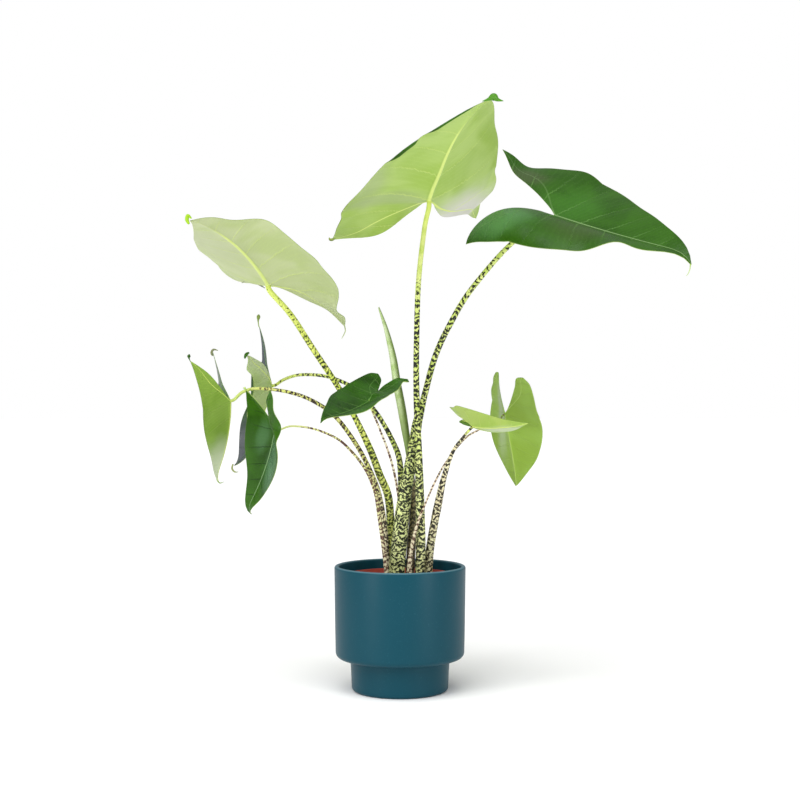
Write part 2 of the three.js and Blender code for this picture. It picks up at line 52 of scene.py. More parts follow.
studio = {
    "seen": 1.0, "fill": 0.42, "sun": 2.8, "sunSpread": 60, "sunTurn": (28, -12, 0), "aim": (0, 0, 0.4),
    "floorSize": 60, "floor": 0.96, "floorPatchy": 1.02, "floorPatch": 3, "floorRough": 0.9,
    "lights": [
        # name, place, size, power
        ("leftPanel", (-1.5, -1.4, 0.5), (0.35, 1.0), 12),
        ("rightPanel", (1.5, -1.4, 0.5), (0.35, 1.0), 11),
    ],
}


def makeStudio():
    scene = bpy.context.scene
    scene.view_settings.view_transform = "Standard"
    world = bpy.data.worlds.new("studioWorld")
    scene.world = world
    world.use_nodes = True
    tree = world.node_tree
    seen = newNode(tree, "ShaderNodeLightPath").outputs["Is Camera Ray"]
    strength = ramp(tree, seen, 0, 1, studio["fill"], studio["seen"])
    setInputs(tree, tree.nodes["Background"], {"Color": (1, 1, 1, 1), "Strength": strength})
    sun = bpy.data.lights.new("softSun", "SUN")
    sun.energy = studio["sun"]
    sun.angle = radians(studio["sunSpread"])
    sky = bpy.data.objects.new("softSun", sun)
    sky.rotation_euler = [radians(turn) for turn in studio["sunTurn"]]
    bpy.context.collection.objects.link(sky)
    for name, place, size, power in studio["lights"]:
        lamp = bpy.data.lights.new(name, "AREA")
        lamp.shape = "RECTANGLE"
        lamp.size, lamp.size_y = size
        lamp.energy = power
        panel = bpy.data.objects.new(name, lamp)
        panel.location = place
        panel.rotation_euler = (Vector(studio["aim"]) - Vector(place)).to_track_quat("-Z", "Y").to_euler()
        bpy.context.collection.objects.link(panel)
    bm = bmesh.new()
    bmesh.ops.create_grid(bm, x_segments=1, y_segments=1, size=studio["floorSize"] / 2)
    floor = pieceFrom(bm, "floor")
    floor.data.materials.append(floorMaterial())


def pieceFrom(bm, name):
    mesh = bpy.data.meshes.new(name)
    bm.to_mesh(mesh)
    bm.free()
    for polygon in mesh.polygons:
        polygon.use_smooth = True
    piece = bpy.data.objects.new(name, mesh)
    bpy.context.collection.objects.link(piece)
    return piece


def closedPiece(bm, name):
    bmesh.ops.holes_fill(bm, edges=[edge for edge in bm.edges if edge.is_boundary])
    bmesh.ops.recalc_face_normals(bm, faces=bm.faces[:])
    return pieceFrom(bm, name)


def finishPiece(piece, node, material):
    piece.data.materials.append(material)
    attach(piece, "root")
    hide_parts(node)


# shader helpers
operations = {
    "+": "ADD", "-": "SUBTRACT", "*": "MULTIPLY", "*+": "MULTIPLY_ADD", "abs": "ABSOLUTE",
    "zigzag": "PINGPONG",
}


def setInputs(tree, node, inputs):
    for key, value in inputs.items():
        if isinstance(value, bpy.types.NodeSocket):
            tree.links.new(value, node.inputs[key])
        else:
            node.inputs[key].default_value = value


def newNode(tree, kind, inputs=None, **settings):
    node = tree.nodes.new(kind)
    for key, value in settings.items():
        setattr(node, key, value)
    setInputs(tree, node, inputs or {})
    return node


def calc(tree, operation, *values):  # *+ is a times b plus c, and zigzag goes up to c and down again
    name = operations[operation]
    return newNode(tree, "ShaderNodeMath", dict(enumerate(values)), operation=name).outputs[0]


def ramp(tree, value, low, high, toLow=0.0, toHigh=1.0):
    inputs = {"Value": value, "From Min": low, "From Max": high, "To Min": toLow, "To Max": toHigh}
    node = newNode(tree, "ShaderNodeMapRange", inputs, interpolation_type="SMOOTHSTEP")
    return node.outputs[0]


def mixColor(tree, factor, a, b):  # a triple is a screen colour, 0 to 255
    a, b = [tone(*color) if isinstance(color, tuple) and len(color) == 3 else color for color in (a, b)]
    return newNode(tree, "ShaderNodeMix", {0: factor, 6: a, 7: b}, data_type="RGBA").outputs[2]


def tone(red, green, blue):  # screen colour, 0 to 255, as the shader's linear colour
    def linear(c):
        c /= 255
        return c / 12.92 if c <= 0.04045 else ((c + 0.055) / 1.055) ** 2.4
    return (linear(red), linear(green), linear(blue), 1)


def newMaterial(name):
    material = bpy.data.materials.new(name)
    material.use_nodes = True
    tree = material.node_tree
    tree.nodes.clear()
    shader = newNode(tree, "ShaderNodeBsdfPrincipled")
    newNode(tree, "ShaderNodeOutputMaterial", {"Surface": shader.outputs[0]})
    return material, tree, shader


def grainNoise(tree, where, scale, detail=3.0, distortion=0.0):
    inputs = {"Vector": where, "Scale": scale, "Detail": detail, "Distortion": distortion}
    return newNode(tree, "ShaderNodeTexNoise", inputs).outputs["Fac"]


def readPlace(tree):
    return newNode(tree, "ShaderNodeTexCoord").outputs["Object"]


def attribute(tree, name, output="Vector"):
    return newNode(tree, "ShaderNodeAttribute", attribute_name=name).outputs[output]


def axes(tree, vector):
    return newNode(tree, "ShaderNodeSeparateXYZ", {0: vector}).outputs


def newGroup(name, vectors, values, results):
    tree = bpy.data.node_groups.new(name, "ShaderNodeTree")
    sockets = [(key, "INPUT", "NodeSocketVector") for key in vectors]
    sockets += [(key, "INPUT", "NodeSocketFloat") for key in values]
    sockets += [(key, "OUTPUT", "NodeSocketFloat") for key in results]
    for key, way, kind in sockets:
        tree.interface.new_socket(key, in_out=way, socket_type=kind)
    return tree, newNode(tree, "NodeGroupInput").outputs


def coverShader(tree, shader, color, rough, relief, look):  # the relief's depth is in metres
    height = {"Height": relief, "Strength": look["bump"], "Distance": look["bumpDepth"]}
    bump = newNode(tree, "ShaderNodeBump", height).outputs[0]
    inputs = {"Base Color": color, "Roughness": rough, "Normal": bump, "Specular IOR Level": look["shine"]}
    setInputs(tree, shader, inputs)


def floorMaterial():
    material, tree, shader = newMaterial("paleFloor")
    patches = grainNoise(tree, readPlace(tree), studio["floorPatch"])
    low, high = [(*[studio["floor"] * share] * 3, 1) for share in (1, studio["floorPatchy"])]
    color = mixColor(tree, patches, low, high)
    setInputs(tree, shader, {"Base Color": color, "Roughness": studio["floorRough"]})
    return material


# curves and turned frames that leaves and stems share
def smoothCurve(points, t):
    last = len(points) - 1
    place = min(max(t, 0), 1) * last
    i = min(int(place), last - 1)
    w = place - i
    before, start = points[max(i - 1, 0)], points[i]
    end, after = points[i + 1], points[min(i + 2, last)]
    result = []
    for a, b, c, d in zip(before, start, end, after):
        v0, v1 = (c - a) / 2, (d - b) / 2
        cubic, square = 2 * b - 2 * c + v0 + v1, 3 * c - 3 * b - 2 * v0 - v1
        result.append(cubic * w ** 3 + square * w ** 2 + v0 * w + b)
    return result


def widthAt(outline, y):  # x of a falling outline at a height y
    low, high = 0.0, 1.0
    for _ in range(leafShape["halvings"]):
        middle = (low + high) / 2
        if smoothCurve(outline, middle)[1] > y:
            low = middle
        else:
            high = middle
    return max(smoothCurve(outline, low)[0], 0)


def easeStep(low, high, value):
    t = min(max((value - low) / (high - low), 0), 1)
    return t * t * (3 - 2 * t)


# half a flat leaf: x in half widths, y in blade lengths, or lobe lengths below the stem
upperMargin = [(0, 1), (0.1, 0.9), (0.33, 0.7), (0.62, 0.47), (0.85, 0.25), (0.97, 0.03), (1, -0.25)]
upperSinus = [(0, 0), (0.1, -0.1), (0.27, -0.33)]
leafShape = {
    "margin": [*upperMargin, (0.97, -0.6), (0.84, -1)],
    "sinus": [*upperSinus, (0.5, -0.66), (0.84, -1)],
    "bluntMargin": [*upperMargin, (1, -0.6), (0.96, -0.88), (0.8, -1)],
    "bluntSinus": [*upperSinus, (0.47, -0.66), (0.58, -0.9), (0.8, -1)],
    "lobeTurned": 0.35, "rolledTo": 0.25, "seatReach": 0.25, "apexReach": (0.25, 0.8), "innerEase": 0.12,
    "spineSteps": 20, "hookFrom": 0.8, "rollShare": 0.08, "rollEase": 0.08,
    # mm, and the share of the blade's length that a rib stands up
    "thickness": 0.9, "ribReach": 3.2, "ribShare": 1 / 120, "ribTaper": 0.85,
    "lobeRibShare": 0.35, "sideRibShare": 0.1, "sideRibWidth": 0.03,
    # how high a blade swells between side veins, mm on a full-size leaf
    "quilt": 0.9, "quiltMean": 0.6, "quiltGroove": 0.13, "quiltFrom": 0.3, "quiltTo": 0.8, "quiltFar": 0.4,
    "bladeRows": 120, "lobeRows": 60, "columns": 52, "crowding": 0.6, "halvings": 30,
    "fullSize": 315, "smallBelow": 200, "leastCup": 0.1, "smallShare": 0.6,
    "curlRings": 24, "curlSides": 10, "curlEdge": 0.9, "curlVeins": (0.5, 0.5, 9),
}

veinShape = {
    # spacing in blade or lobe lengths; a slope is how far a side vein climbs for each step out
    "spacing": 0.185, "lobeSpacing": 0.27, "slope": 0.3, "inward": 0.5, "bow": 0.28,
    "steeper": 0.35, "steeperBy": 0.4, "lobeFlatter": 0.75, "lobeFlatterBy": 0.8,
    "lobeRib": 0.36, "lobeRibBy": 0.6, "ribHalf": 2.6, "ribTaper": 0.8, "lobeRibHalf": 1.7, "ribLeast": 0.5,
}

leaves = {
    # sizes are in mm and turns in degrees; pairs hold the left and the right half, seen from above.
    # turn is the midrib's heading and pitch and the blade's roll; spine is droop, sway, twist and hook.
    # a wave of the margin or the inner edge is half, place, reach, lift and width; a roll is half, from,
    # to and how far; a curl is whether it has the upper face's look, and its points with half widths
    "blade_1": dict(at=(49, 0, 746), length=315, width=143, lobe=162, turn=(-81, 33, 9), fold=(9, 18),
        cup=(30, -40), spine=(30, -1, 32, 7), rise=(18, 7), spread=(3, 37), seatShift=5,
        waves=[(1, 0.53, 0.16, 8, 0), (1, 0.2, 0.15, -4, 0), (0, 0.6, 0.15, 0, 9), (0, 0.3, 0.12, 4, -7),
        (0, -0.12, 0.15, 4, -7), (0, -0.75, 0.15, 18, -3)], inner=[(1, -0.25, 0.25, 10, -14),
        (1, -0.6, 0.25, -11, -4), (0, -0.3, 0.2, -8, -13), (0, -0.6, 0.25, 11, 17)],
        rolls=[(1, 0.4, 0.62, 150), (1, 0.63, 0.92, 165)], quilt=0.5, curls=[(1, [(108.6, -285, 836, 0.4),
        (117, -285, 838.8, 2.2), (123.6, -285, 841.6, 5.2), (129, -285, 838.2, 2.6),
        (136.6, -285, 836.4, 0.4)]), (0, [(-109.8, 34, 693, 0.6), (-108.4, 34, 690.2, 2),
        (-104.6, 34, 690, 2.2), (-99, 34, 693, 0.8)])]),
    "blade_2": dict(at=(238, 20, 725), length=262, width=119, lobe=166, turn=(-40, -20, -14), fold=(48, -9),
        cup=(-9, -65), spine=(-4, 7, 14, 38), rise=(8, -60), spread=(-19, 18), waves=[(0, 0.85, 0.15, 3, 12),
        (0, 0.42, 0.2, -7, -4), (0, -0.2, 0.22, 12, 2), (0, -0.72, 0.15, -11, -5), (1, 0.83, 0.12, -20, 18),
        (1, 0.6, 0.1, 30, -16), (1, 0.47, 0.1, -12, 0)], inner=[(1, -0.45, 0.3, 8, 0)],
        curls=[(0, [(412.2, -147, 634.5, 0.9), (411.5, -147, 627.4, 0.6), (409.4, -147, 621.7, 0.5),
        (406.5, -147, 617.5, 0.3)])]),
    "blade_3": dict(at=(-199, -20, 614), length=265, width=113, lobe=118, turn=(256, 28, -5), fold=(33, 0),
        cup=(-62, 42), spine=(24, 9, 14, 6), rise=(-4, 45), spread=(-2, -12), waves=[(0, 0.75, 0.1, -20, -16),
        (0, 0.6, 0.1, 25, 10), (0, 0.3, 0.12, -2, -8), (0, 0.05, 0.15, 0, 7), (0, -0.45, 0.2, -13, -12),
        (0, 0.24, 0.06, 0, 4), (0, 0.14, 0.06, 0, -6), (1, 0.7, 0.3, 0, 5), (1, 0.25, 0.15, -6, 2),
        (1, -0.12, 0.15, 5, 0)], inner=[(0, -0.6, 0.25, 0, 16), (1, -0.5, 0.45, 24, 0)],
        curls=[(0, [(-86.9, 62, 557.6, 1), (-85.8, 62, 549.8, 0.8), (-88.7, 62, 542.7, 0.7),
        (-91.8, 62, 537.2, 0.3)]), (0, [(-243.6, 20, 621.5, 0.4), (-231.8, 20, 626.2, 1.5),
        (-221, 20, 621.5, 1.8), (-207.7, 18, 613.6, 0.7)]), (1, [(-282.4, -260, 677.1, 1.5),
        (-285.1, -260, 682.4, 2.6), (-283.8, -260, 688.3, 2.4), (-279.1, -260, 684.5, 0.8)])]),
    "blade_4": dict(at=(-259, 4, 440), length=138, width=61, lobe=81, turn=(92, -74, -74), fold=(34, 47),
        cup=(-24, -8), spine=(-26, 2, 13, 34), rise=(40, 19), spread=(-12, 9), lobeFold=(0, 13),
        lobeCup=(0, -39), lobeNarrow=(1, 0.5), waves=[], inner=[], curls=[(0, [(-286.3, 50, 323, 1.6),
        (-284.7, 50, 316, 1.2), (-280.8, 50, 312, 1), (-274.6, 50, 314, 0.4)]), (1, [(-314, -40, 500, 0.5),
        (-315.5, -40, 504, 1.2), (-315.7, -40, 507, 2.6), (-315, -40, 510, 0.8)]),
        (0, [(-290.7, 38, 510, 1.2), (-292.4, 38, 515, 1.8), (-289.3, 38, 519.7, 1.6),
        (-282.3, 38, 518.4, 0.5)])]),
    "blade_5": dict(at=(-202, 74, 464), length=151, width=64, lobe=87, turn=(130, -67, -60), fold=(29, 27),
        cup=(3, 5), spine=(-17, -1, 20, -24), rise=(48, 14), spread=(1, 3), lobeNarrow=(1, 0.3), apexTurn=52,
        waves=[(0, -0.7, 0.15, 8, 0)], inner=[], curls=[(0, [(-224.1, 89, 557.4, 0.7), (-225.2, 89, 567, 1.2),
        (-224.7, 89, 573.3, 3), (-224.1, 89, 577.3, 1.2)]), (1, [(-237, 2, 504.7, 1.2),
        (-234.7, 2, 510.8, 2.6), (-230, 2, 514, 1.2)]), (0, [(-268.2, 115, 338.7, 1.2),
        (-269.8, 115, 331.5, 1.6), (-265.8, 115, 326.2, 1.3), (-259.4, 115, 326, 0.4)])]),
    "blade_6": dict(at=(-188, -25, 396), length=152, width=62, lobe=80, turn=(115, -66, -76), fold=(4, 31),
        cup=(-8, 18), spine=(-21, 3, -25, 60), rise=(27, 37), spread=(-6, 12), lobeFold=(52, 0),
        lobeCup=(-123, 0), waves=[(1, 0.9, 0.12, 0, 4), (1, 0.62, 0.15, -5, -4), (0, 0.78, 0.15, -3, 9),
        (0, -0.12, 0.15, 5, -1), (0, -0.6, 0.25, 0, -12)], inner=[(1, -0.62, 0.42, 8.5, 0)]),
    "blade_7": dict(at=(-47, -60, 439), length=114, width=51, lobe=63, turn=(227, -23, 8), fold=(9, 30),
        cup=(-8, 10), spine=(-22, -12, -26, 50), rise=(4, -1), spread=(24, -6), blunt=True,
        waves=[(1, 0.8, 0.2, 1, 11), (1, 0.45, 0.15, 2, 3), (0, 0.9, 0.12, 2, -6), (0, 0.5, 0.18, -5, 1),
        (0, 0.2, 0.12, 3, -1), (0, -0.7, 0.2, 7, 2)], inner=[(1, -0.6, 0.3, -6, -6), (1, -0.3, 0.2, 0, -8),
        (1, -0.14, 0.12, 0, -4), (0, -0.5, 0.3, 9, -6), (0, -0.85, 0.2, 7, 0), (0, -0.14, 0.12, 5, -2)]),
    "blade_8": dict(at=(164, 50, 421), length=149, width=70, lobe=85, turn=(62, -67, 12), fold=(41, -7),
        cup=(-5, -6), spine=(-21, -11, -46, -22), rise=(47, -18), spread=(9, 8), blunt=True,
        waves=[(0, 0.5, 0.25, -2, 4), (0, -0.7, 0.2, 4, 0), (1, 0.68, 0.2, -1, 7), (1, 0.05, 0.2, 5, 2)],
        inner=[]),
    "blade_9": dict(at=(109, -40, 402), length=113, width=43, lobe=62, turn=(-59, -5, -51), fold=(30, 3),
        cup=(16, -14), spine=(-25, -2, 5, -8), rise=(-9, 32), spread=(-13, -40), lobeFold=(63, 0),
        lobeCup=(-130, 0), lobeNarrow=(1, 0.7), waves=[(1, 0.9, 0.12, 1, 6), (0, 0.8, 0.2, -2, 8),
        (0, 0.4, 0.2, 3, -1)], inner=[], curls=[(0, [(91.8, 28, 408, 1.4), (98.7, 26, 407.6, 4.4),
        (105.4, 20, 405.2, 4.2), (111.3, 14, 402, 2)])]),
}


def leafTurn(leaf):  # X across, Y along the midrib, Z out of the upper face
    heading, pitch, roll = [radians(degrees) for degrees in leaf["turn"]]
    along = Vector((cos(pitch) * cos(heading), cos(pitch) * sin(heading), sin(pitch)))
    upper = Vector((-sin(pitch) * cos(heading), -sin(pitch) * sin(heading), cos(pitch)))
    upper.rotate(Quaternion(along, roll))
    across = along.cross(upper)
    return Matrix((across, along, upper)).transposed()


def spineOf(size, sign, bend, side, twist, hook):
    steps, hookFrom = leafShape["spineSteps"], leafShape["hookFrom"]
    spot, across, along, upper = Vector(), Vector((1, 0, 0)), Vector((0, 1, 0)), Vector((0, 0, 1))
    rows = [(spot.copy(), across.copy(), upper.copy())]
    for k in range(steps):
        u = (k + 0.5) / steps
        hooked = max(0, (u - hookFrom) / (1 - hookFrom)) * 2 * hook / (steps * (1 - hookFrom))
        turn = Quaternion(across, radians(-(bend / steps + hooked) * sign))
        along.rotate(turn)
        upper.rotate(turn)
        turn = Quaternion(upper, radians(-side / steps * sign))
        along.rotate(turn)
        across.rotate(turn)
        turn = Quaternion(along, radians(twist / steps * sign))
        upper.rotate(turn)
        across.rotate(turn)
        spot = spot + along * (size / steps * sign)
        rows.append((spot.copy(), across.copy(), upper.copy()))
    return rows


def rowFrame(rows, share):
    place = min(abs(share), 1) * (len(rows) - 1)
    i = min(int(place), len(rows) - 2)
    return [a.lerp(b, place - i) for a, b in zip(rows[i], rows[i + 1])]


def turnedAbout(across, upper, degrees):
    turn = radians(degrees)
    return (across * cos(turn) + upper * sin(turn), upper * cos(turn) - across * sin(turn))


def waveAt(waves, half, y):
    lift = out = 0
    for waveHalf, at, reach, waveLift, waveOut in waves:
        if waveHalf == half:
            near = exp(-((y - at) / reach) ** 2)
            lift += waveLift * near
            out += waveOut * near
    return lift, out


def rollAt(rolls, half, y):  # degrees that the margin rolls under
    ease = leafShape["rollEase"]
    turned = [degrees * easeStep(start, start + ease, y) * (1 - easeStep(end - ease, end, y))
              for rollHalf, start, end, degrees in rolls if rollHalf == half]
    return sum(turned)


def veinPlace(leaf, x, y, edge, inner):
    # where a point lies among the side veins: vein number, distance from the rib, distance in rib widths
    s, width, size = veinShape, leaf["width"], leaf["length"] / leafShape["fullSize"]
    if y >= 0:
        rib, slope = 0, s["slope"] + s["steeper"] * easeStep(0, s["steeperBy"], y)
        v, spacing = y * leaf["length"], s["spacing"] * leaf["length"]
        ribWidth = size * (s["ribHalf"] * (1 - y) ** s["ribTaper"] + s["ribLeast"])
    else:
        rib = (inner + s["lobeRib"] * easeStep(0, s["lobeRibBy"], -y) * (edge - inner)) * width
        slope = s["slope"] - s["lobeFlatter"] * easeStep(0, s["lobeFlatterBy"], -y)
        v, spacing = y * leaf["lobe"], s["lobeSpacing"] * leaf["lobe"]
        ribWidth = size * (s["lobeRibHalf"] * (1 + y) + s["ribLeast"])
    away = x * width - rib
    bow = s["bow"] * away * away / width / 2
    phase = (v - slope * away + bow) / spacing if away >= 0 else (v + s["inward"] * away) / spacing
    return phase, away, away / ribWidth


def growLeaf(name, leaf):
    s = leafShape
    share = s["smallShare"] if leaf["length"] < s["smallBelow"] else 1
    bladeRows, lobeRows, columns = [int(s[key] * share) for key in ("bladeRows", "lobeRows", "columns")]
    rowCount = bladeRows + lobeRows
    kinds = ("bluntMargin", "bluntSinus") if leaf.get("blunt") else ("margin", "sinus")
    midrib = spineOf(leaf["length"], 1, *leaf["spine"])
    lobes = [spineOf(leaf["lobe"], -1, -leaf["rise"][half], side * leaf["spread"][half], 0, 0)
             for half, side in enumerate((-1, 1))]
    turn, seat = leafTurn(leaf), Vector(leaf["at"])
    width, length = leaf["width"], leaf["length"]
    rollFrom, quiltHeight = 1 - s["rollShare"], s["quilt"] * leaf.get("quilt", 1) * length / s["fullSize"]
    bm = bmesh.new()
    place, veins = [bm.verts.layers.float_vector.new(key) for key in ("leafPlace", "veinPlace")]
    bm.verts.layers.float.new("upperSide")
    ridge = bm.verts.layers.float.new("ridge")
    for half, sign in enumerate((-1, 1)):
        made = bmesh.ops.create_grid(bm, x_segments=columns, y_segments=rowCount, size=1)["verts"]
        rows = {}
        for vert in made:
            rows.setdefault(round((vert.co.y + 1) / 2 * rowCount), []).append(vert)
        for number, row in rows.items():
            y = (number - lobeRows) / (bladeRows if number > lobeRows else lobeRows)
            edge, inner = widthAt(s[kinds[0]], y), widthAt(s[kinds[1]], y) if y < 0 else 0
            edgeLift, edgeOut = waveAt(leaf["waves"], half, y)
            innerLift, innerOut = waveAt(leaf["inner"], half, y)
            spot, across, upper = rowFrame(midrib if y >= 0 else lobes[half], y)
            onLobe = easeStep(0, s["lobeTurned"], -y)
            fold = radians(leaf["fold"][half] + onLobe * leaf.get("lobeFold", (0, 0))[half])
            cup = radians((leaf["cup"][half] or s["leastCup"]) + onLobe * leaf.get("lobeCup", (0, 0))[half])
            across, upper = turnedAbout(across, upper, leaf.get("apexTurn", 0) * easeStep(*s["apexReach"], y))
            spot = spot + Vector((leaf.get("seatShift", 0) * (1 - easeStep(0, s["seatReach"], abs(y))), 0, 0))
            narrow = 1 + onLobe * (leaf.get("lobeNarrow", (1, 1))[half] - 1)
            middle = inner + s["rolledTo"] * (edge - inner)
            inner, edge = middle + (inner - middle) * narrow, middle + (edge - middle) * narrow
            radius = width / cup
            rolled = radians(rollAt(leaf.get("rolls", ()), half, y))
            reachY = length if y >= 0 else leaf["lobe"]
            for vert in row:
                f = (vert.co.x + 1) / 2  # steps crowd together at the rib and at the margin
                f += s["crowding"] * ((1 - cos(pi * f)) / 2 - f)
                x = inner + f * (edge - inner)
                bent = fold + cup * x
                innerShare = (1 - f) ** 2 * min(1, max(-y, 0) / s["innerEase"]) if y < 0 else 0
                over = radius * (sin(bent) - sin(fold)) + edgeOut * x * cos(bent)
                high = radius * (cos(fold) - cos(bent)) + edgeOut * x * sin(bent)
                if rolled and f > rollFrom:
                    strip = (f - rollFrom) * (edge - inner) * width
                    turned = rolled * (f - rollFrom) / (1 - rollFrom)
                    reach = strip / turned
                    inward, under = strip - reach * sin(turned), reach * (1 - cos(turned))
                    over -= inward * cos(bent) - under * sin(bent)
                    high -= inward * sin(bent) + under * cos(bent)
                high += edgeLift * x * x + innerLift * innerShare
                over += innerOut * innerShare
                phase, away, ribNear = veinPlace(leaf, x, y, edge, inner)
                toVein = abs((phase + 0.5) % 1 - 0.5)
                quilt = quiltHeight * (s["quiltMean"] - exp(-(toVein / s["quiltGroove"]) ** 2))
                quilt = quilt * easeStep(0, s["quiltFrom"], f) * (1 - easeStep(s["quiltTo"], 1, f))
                high += quilt * (s["quiltFar"] + (1 - s["quiltFar"]) * (1 - abs(y)))
                local = spot + across * (over * sign) + upper * high
                vert.co = (seat + turn @ local) * mm
                nearStem = x * width if y >= 0 else hypot(x * width, y * leaf["lobe"])
                rib = exp(-(nearStem / s["ribReach"]) ** 2) * (1 - s["ribTaper"] * max(y, 0))
                lobeRib = s["lobeRibShare"] * exp(-ribNear ** 2) * (1 - abs(y)) if y < 0 else 0
                sideRib = s["sideRibShare"] * exp(-(toVein / s["sideRibWidth"]) ** 2) * (1 - f)
                vert[ridge] = length * s["ribShare"] * max(rib, lobeRib, sideRib)
                vert[place] = (x * width * mm * sign, y * reachY * mm, f)
                vert[veins] = (phase, away * mm, ribNear)
        if half == 0:
            bmesh.ops.reverse_faces(bm, faces=bm.faces[:])
    bmesh.ops.remove_doubles(bm, verts=bm.verts[:], dist=tiny)
    bm.normal_update()
    return thickenLeaf(bm, name, leaf.get("curls", ()))


def addCurl(bm, onUpper, path):
    # a thin rolled tip: a tapered tube through points x, y, z and half width in mm
    rings, sides = leafShape["curlRings"], leafShape["curlSides"]
    place, veins = [bm.verts.layers.float_vector[key] for key in ("leafPlace", "veinPlace")]
    side = bm.verts.layers.float["upperSide"]
    line, step = [point[:3] for point in path], 0.01
    tube = bmesh.ops.create_grid(bm, x_segments=sides, y_segments=rings, size=1)["verts"]
    for vert in tube:
        t, angle = (vert.co.y + 1) / 2, (vert.co.x + 1) * pi
        spot = Vector(smoothCurve(line, t))
        along = (Vector(smoothCurve(line, t + step)) - Vector(smoothCurve(line, t - step))).normalized()
        deep = along.cross(Vector((0, 1, 0.01))).normalized()  # never quite along y
        wide = deep.cross(along)
        half = smoothCurve([(point[3],) for point in path], t)[0]
        vert.co = (spot + wide * (cos(angle) * half) + deep * (sin(angle) * half)) * mm
        vert[place] = (spot.x * mm, spot.z * mm, leafShape["curlEdge"])
        vert[veins] = leafShape["curlVeins"]
        vert[side] = onUpper
    bmesh.ops.remove_doubles(bm, verts=tube, dist=tiny)
    bmesh.ops.holes_fill(bm, edges=[edge for edge in bm.edges if edge.is_boundary])


def thickenLeaf(bm, name, curls):
    # a lower sheet extruded from the upper one, with a wall round the margin
    side = bm.verts.layers.float["upperSide"]
    ridge = bm.verts.layers.float["ridge"]
    upperVerts = bm.verts[:]
    normals = {vert: vert.normal.copy() for vert in upperVerts}
    made = bmesh.ops.extrude_face_region(bm, geom=bm.faces[:], use_keep_orig=True)["geom"]
    lowerVerts = [item for item in made if isinstance(item, bmesh.types.BMVert)]
    nearest = {(vert.co.x, vert.co.y, vert.co.z): normals[vert] for vert in upperVerts}
    half = leafShape["thickness"] / 2
    for vert in lowerVerts:
        vert[side] = 0
        vert.co -= nearest[(vert.co.x, vert.co.y, vert.co.z)] * (half + vert[ridge]) * mm
    for vert in upperVerts:
        vert[side] = 1
        vert.co += normals[vert] * half * mm
    for onUpper, path in curls:
        addCurl(bm, onUpper, path)
    bmesh.ops.recalc_face_normals(bm, faces=bm.faces[:])
    return pieceFrom(bm, name + "Leaf")


# materials of the leaves
veinLooks = {
    # noise that bends side veins, and widths in vein spacings or rib widths
    "wobbleScale": 45, "wobble": 0.16, "ribEdge": (0.7, 1.25), "sideWidth": (0.008, 0.032),
    "finePerSide": 6.0, "fineWidth": (0.03, 0.2), "fadeFrom": 0.8, "atMargin": 0.3,
}


def makeVeinGroup():
    tree, given = newGroup("leafVeins", ("Vein Place", "Leaf Place"), (), ("Rib", "Side Vein", "Fine Vein"))
    s = veinLooks
    wobble = grainNoise(tree, given["Leaf Place"], s["wobbleScale"], 1)
    split = axes(tree, given["Vein Place"])
    edge = axes(tree, given["Leaf Place"])[2]
    number = calc(tree, "+", split[0], calc(tree, "*+", wobble, s["wobble"], -s["wobble"] / 2))
    rib = ramp(tree, calc(tree, "abs", split[2]), *s["ribEdge"], 1, 0)
    toSide = calc(tree, "zigzag", number, 0.5)
    toFine = calc(tree, "zigzag", calc(tree, "*", number, s["finePerSide"]), 0.5)
    fade = ramp(tree, edge, s["fadeFrom"], 1.0, 1, s["atMargin"])
    sideVein = calc(tree, "*", ramp(tree, toSide, *s["sideWidth"], 1, 0), fade)
    fineVein = calc(tree, "*", ramp(tree, toFine, *s["fineWidth"], 1, 0), fade)
    newNode(tree, "NodeGroupOutput", {"Rib": rib, "Side Vein": sideVein, "Fine Vein": fineVein})
    return tree


leafLooks = {
    "upper": (32, 66, 8), "upperLight": (48, 92, 12), "upperVein": (100, 146, 70),
    "upperRib": (100, 146, 70), "under": (152, 182, 82), "underLight": (168, 194, 106),
    "underVein": (196, 212, 120), "rib": (208, 224, 116), "margin": (168, 190, 104),
    # how strongly side, fine and main veins show, and how side veins fade towards the margin
    "upperShow": 0.35, "upperFade": (0.1, 0.6), "upperLeast": 0.12, "upperFine": 0.05, "upperRibShow": 0.8,
    "underShow": 0.45, "underFade": (0.3, 0.95), "underLeast": 0.25, "underFine": 0.08,
    # where the main rib ends, in metres from the stem, and what is left of it there and on the lobes
    "ribEnd": (1, 2), "ribLeast": 0.1, "lobeFrom": (-0.02, 0), "lobeRib": 1,
    "marginFrom": 0.985, "marginUnder": 0.6, "marginUpper": 0.2,
    "cloudScale": 14, "cloudBend": 0.6, "cloudEdge": (0.35, 0.65),
    # colour, centre and reach in mm, strength and side of each patch of painted sheen, highlight and shade,
    # some also the leaf's own tint: on the flat leaf, or a curl's x and z
    "sheenShadePatches": [], "sheenShadeGrain": 1.4, "sheenShadeRagged": 0.6, "sheenShadeEdge": (0.6, 1.5),
    "upperRough": 0.26, "underRough": 0.45, "roughSpread": 0.08, "shine": 0.15,
    "cellScale": 900, "cellRelief": 0.3, "fineRelief": 0.25, "bump": 0.5, "bumpDepth": 0.0005,
}


def sheenShadeMask(tree, place, centre, reach, look):  # an uneven oval on the flat leaf for a patch of painted sheen, highlight and shade
    moved = (-centre[0] / reach[0], -centre[1] / reach[1], 0)
    scale = (1 / mm / reach[0], 1 / mm / reach[1], 0)
    spot = newNode(tree, "ShaderNodeMapping", {0: place, 1: moved, 3: scale}).outputs[0]
    away = newNode(tree, "ShaderNodeVectorMath", {0: spot}, operation="LENGTH").outputs["Value"]
    grain = grainNoise(tree, spot, look["sheenShadeGrain"], 2)
    away = calc(tree, "*+", grain, look["sheenShadeRagged"], away)
    return ramp(tree, away, *look["sheenShadeEdge"], 1, 0)


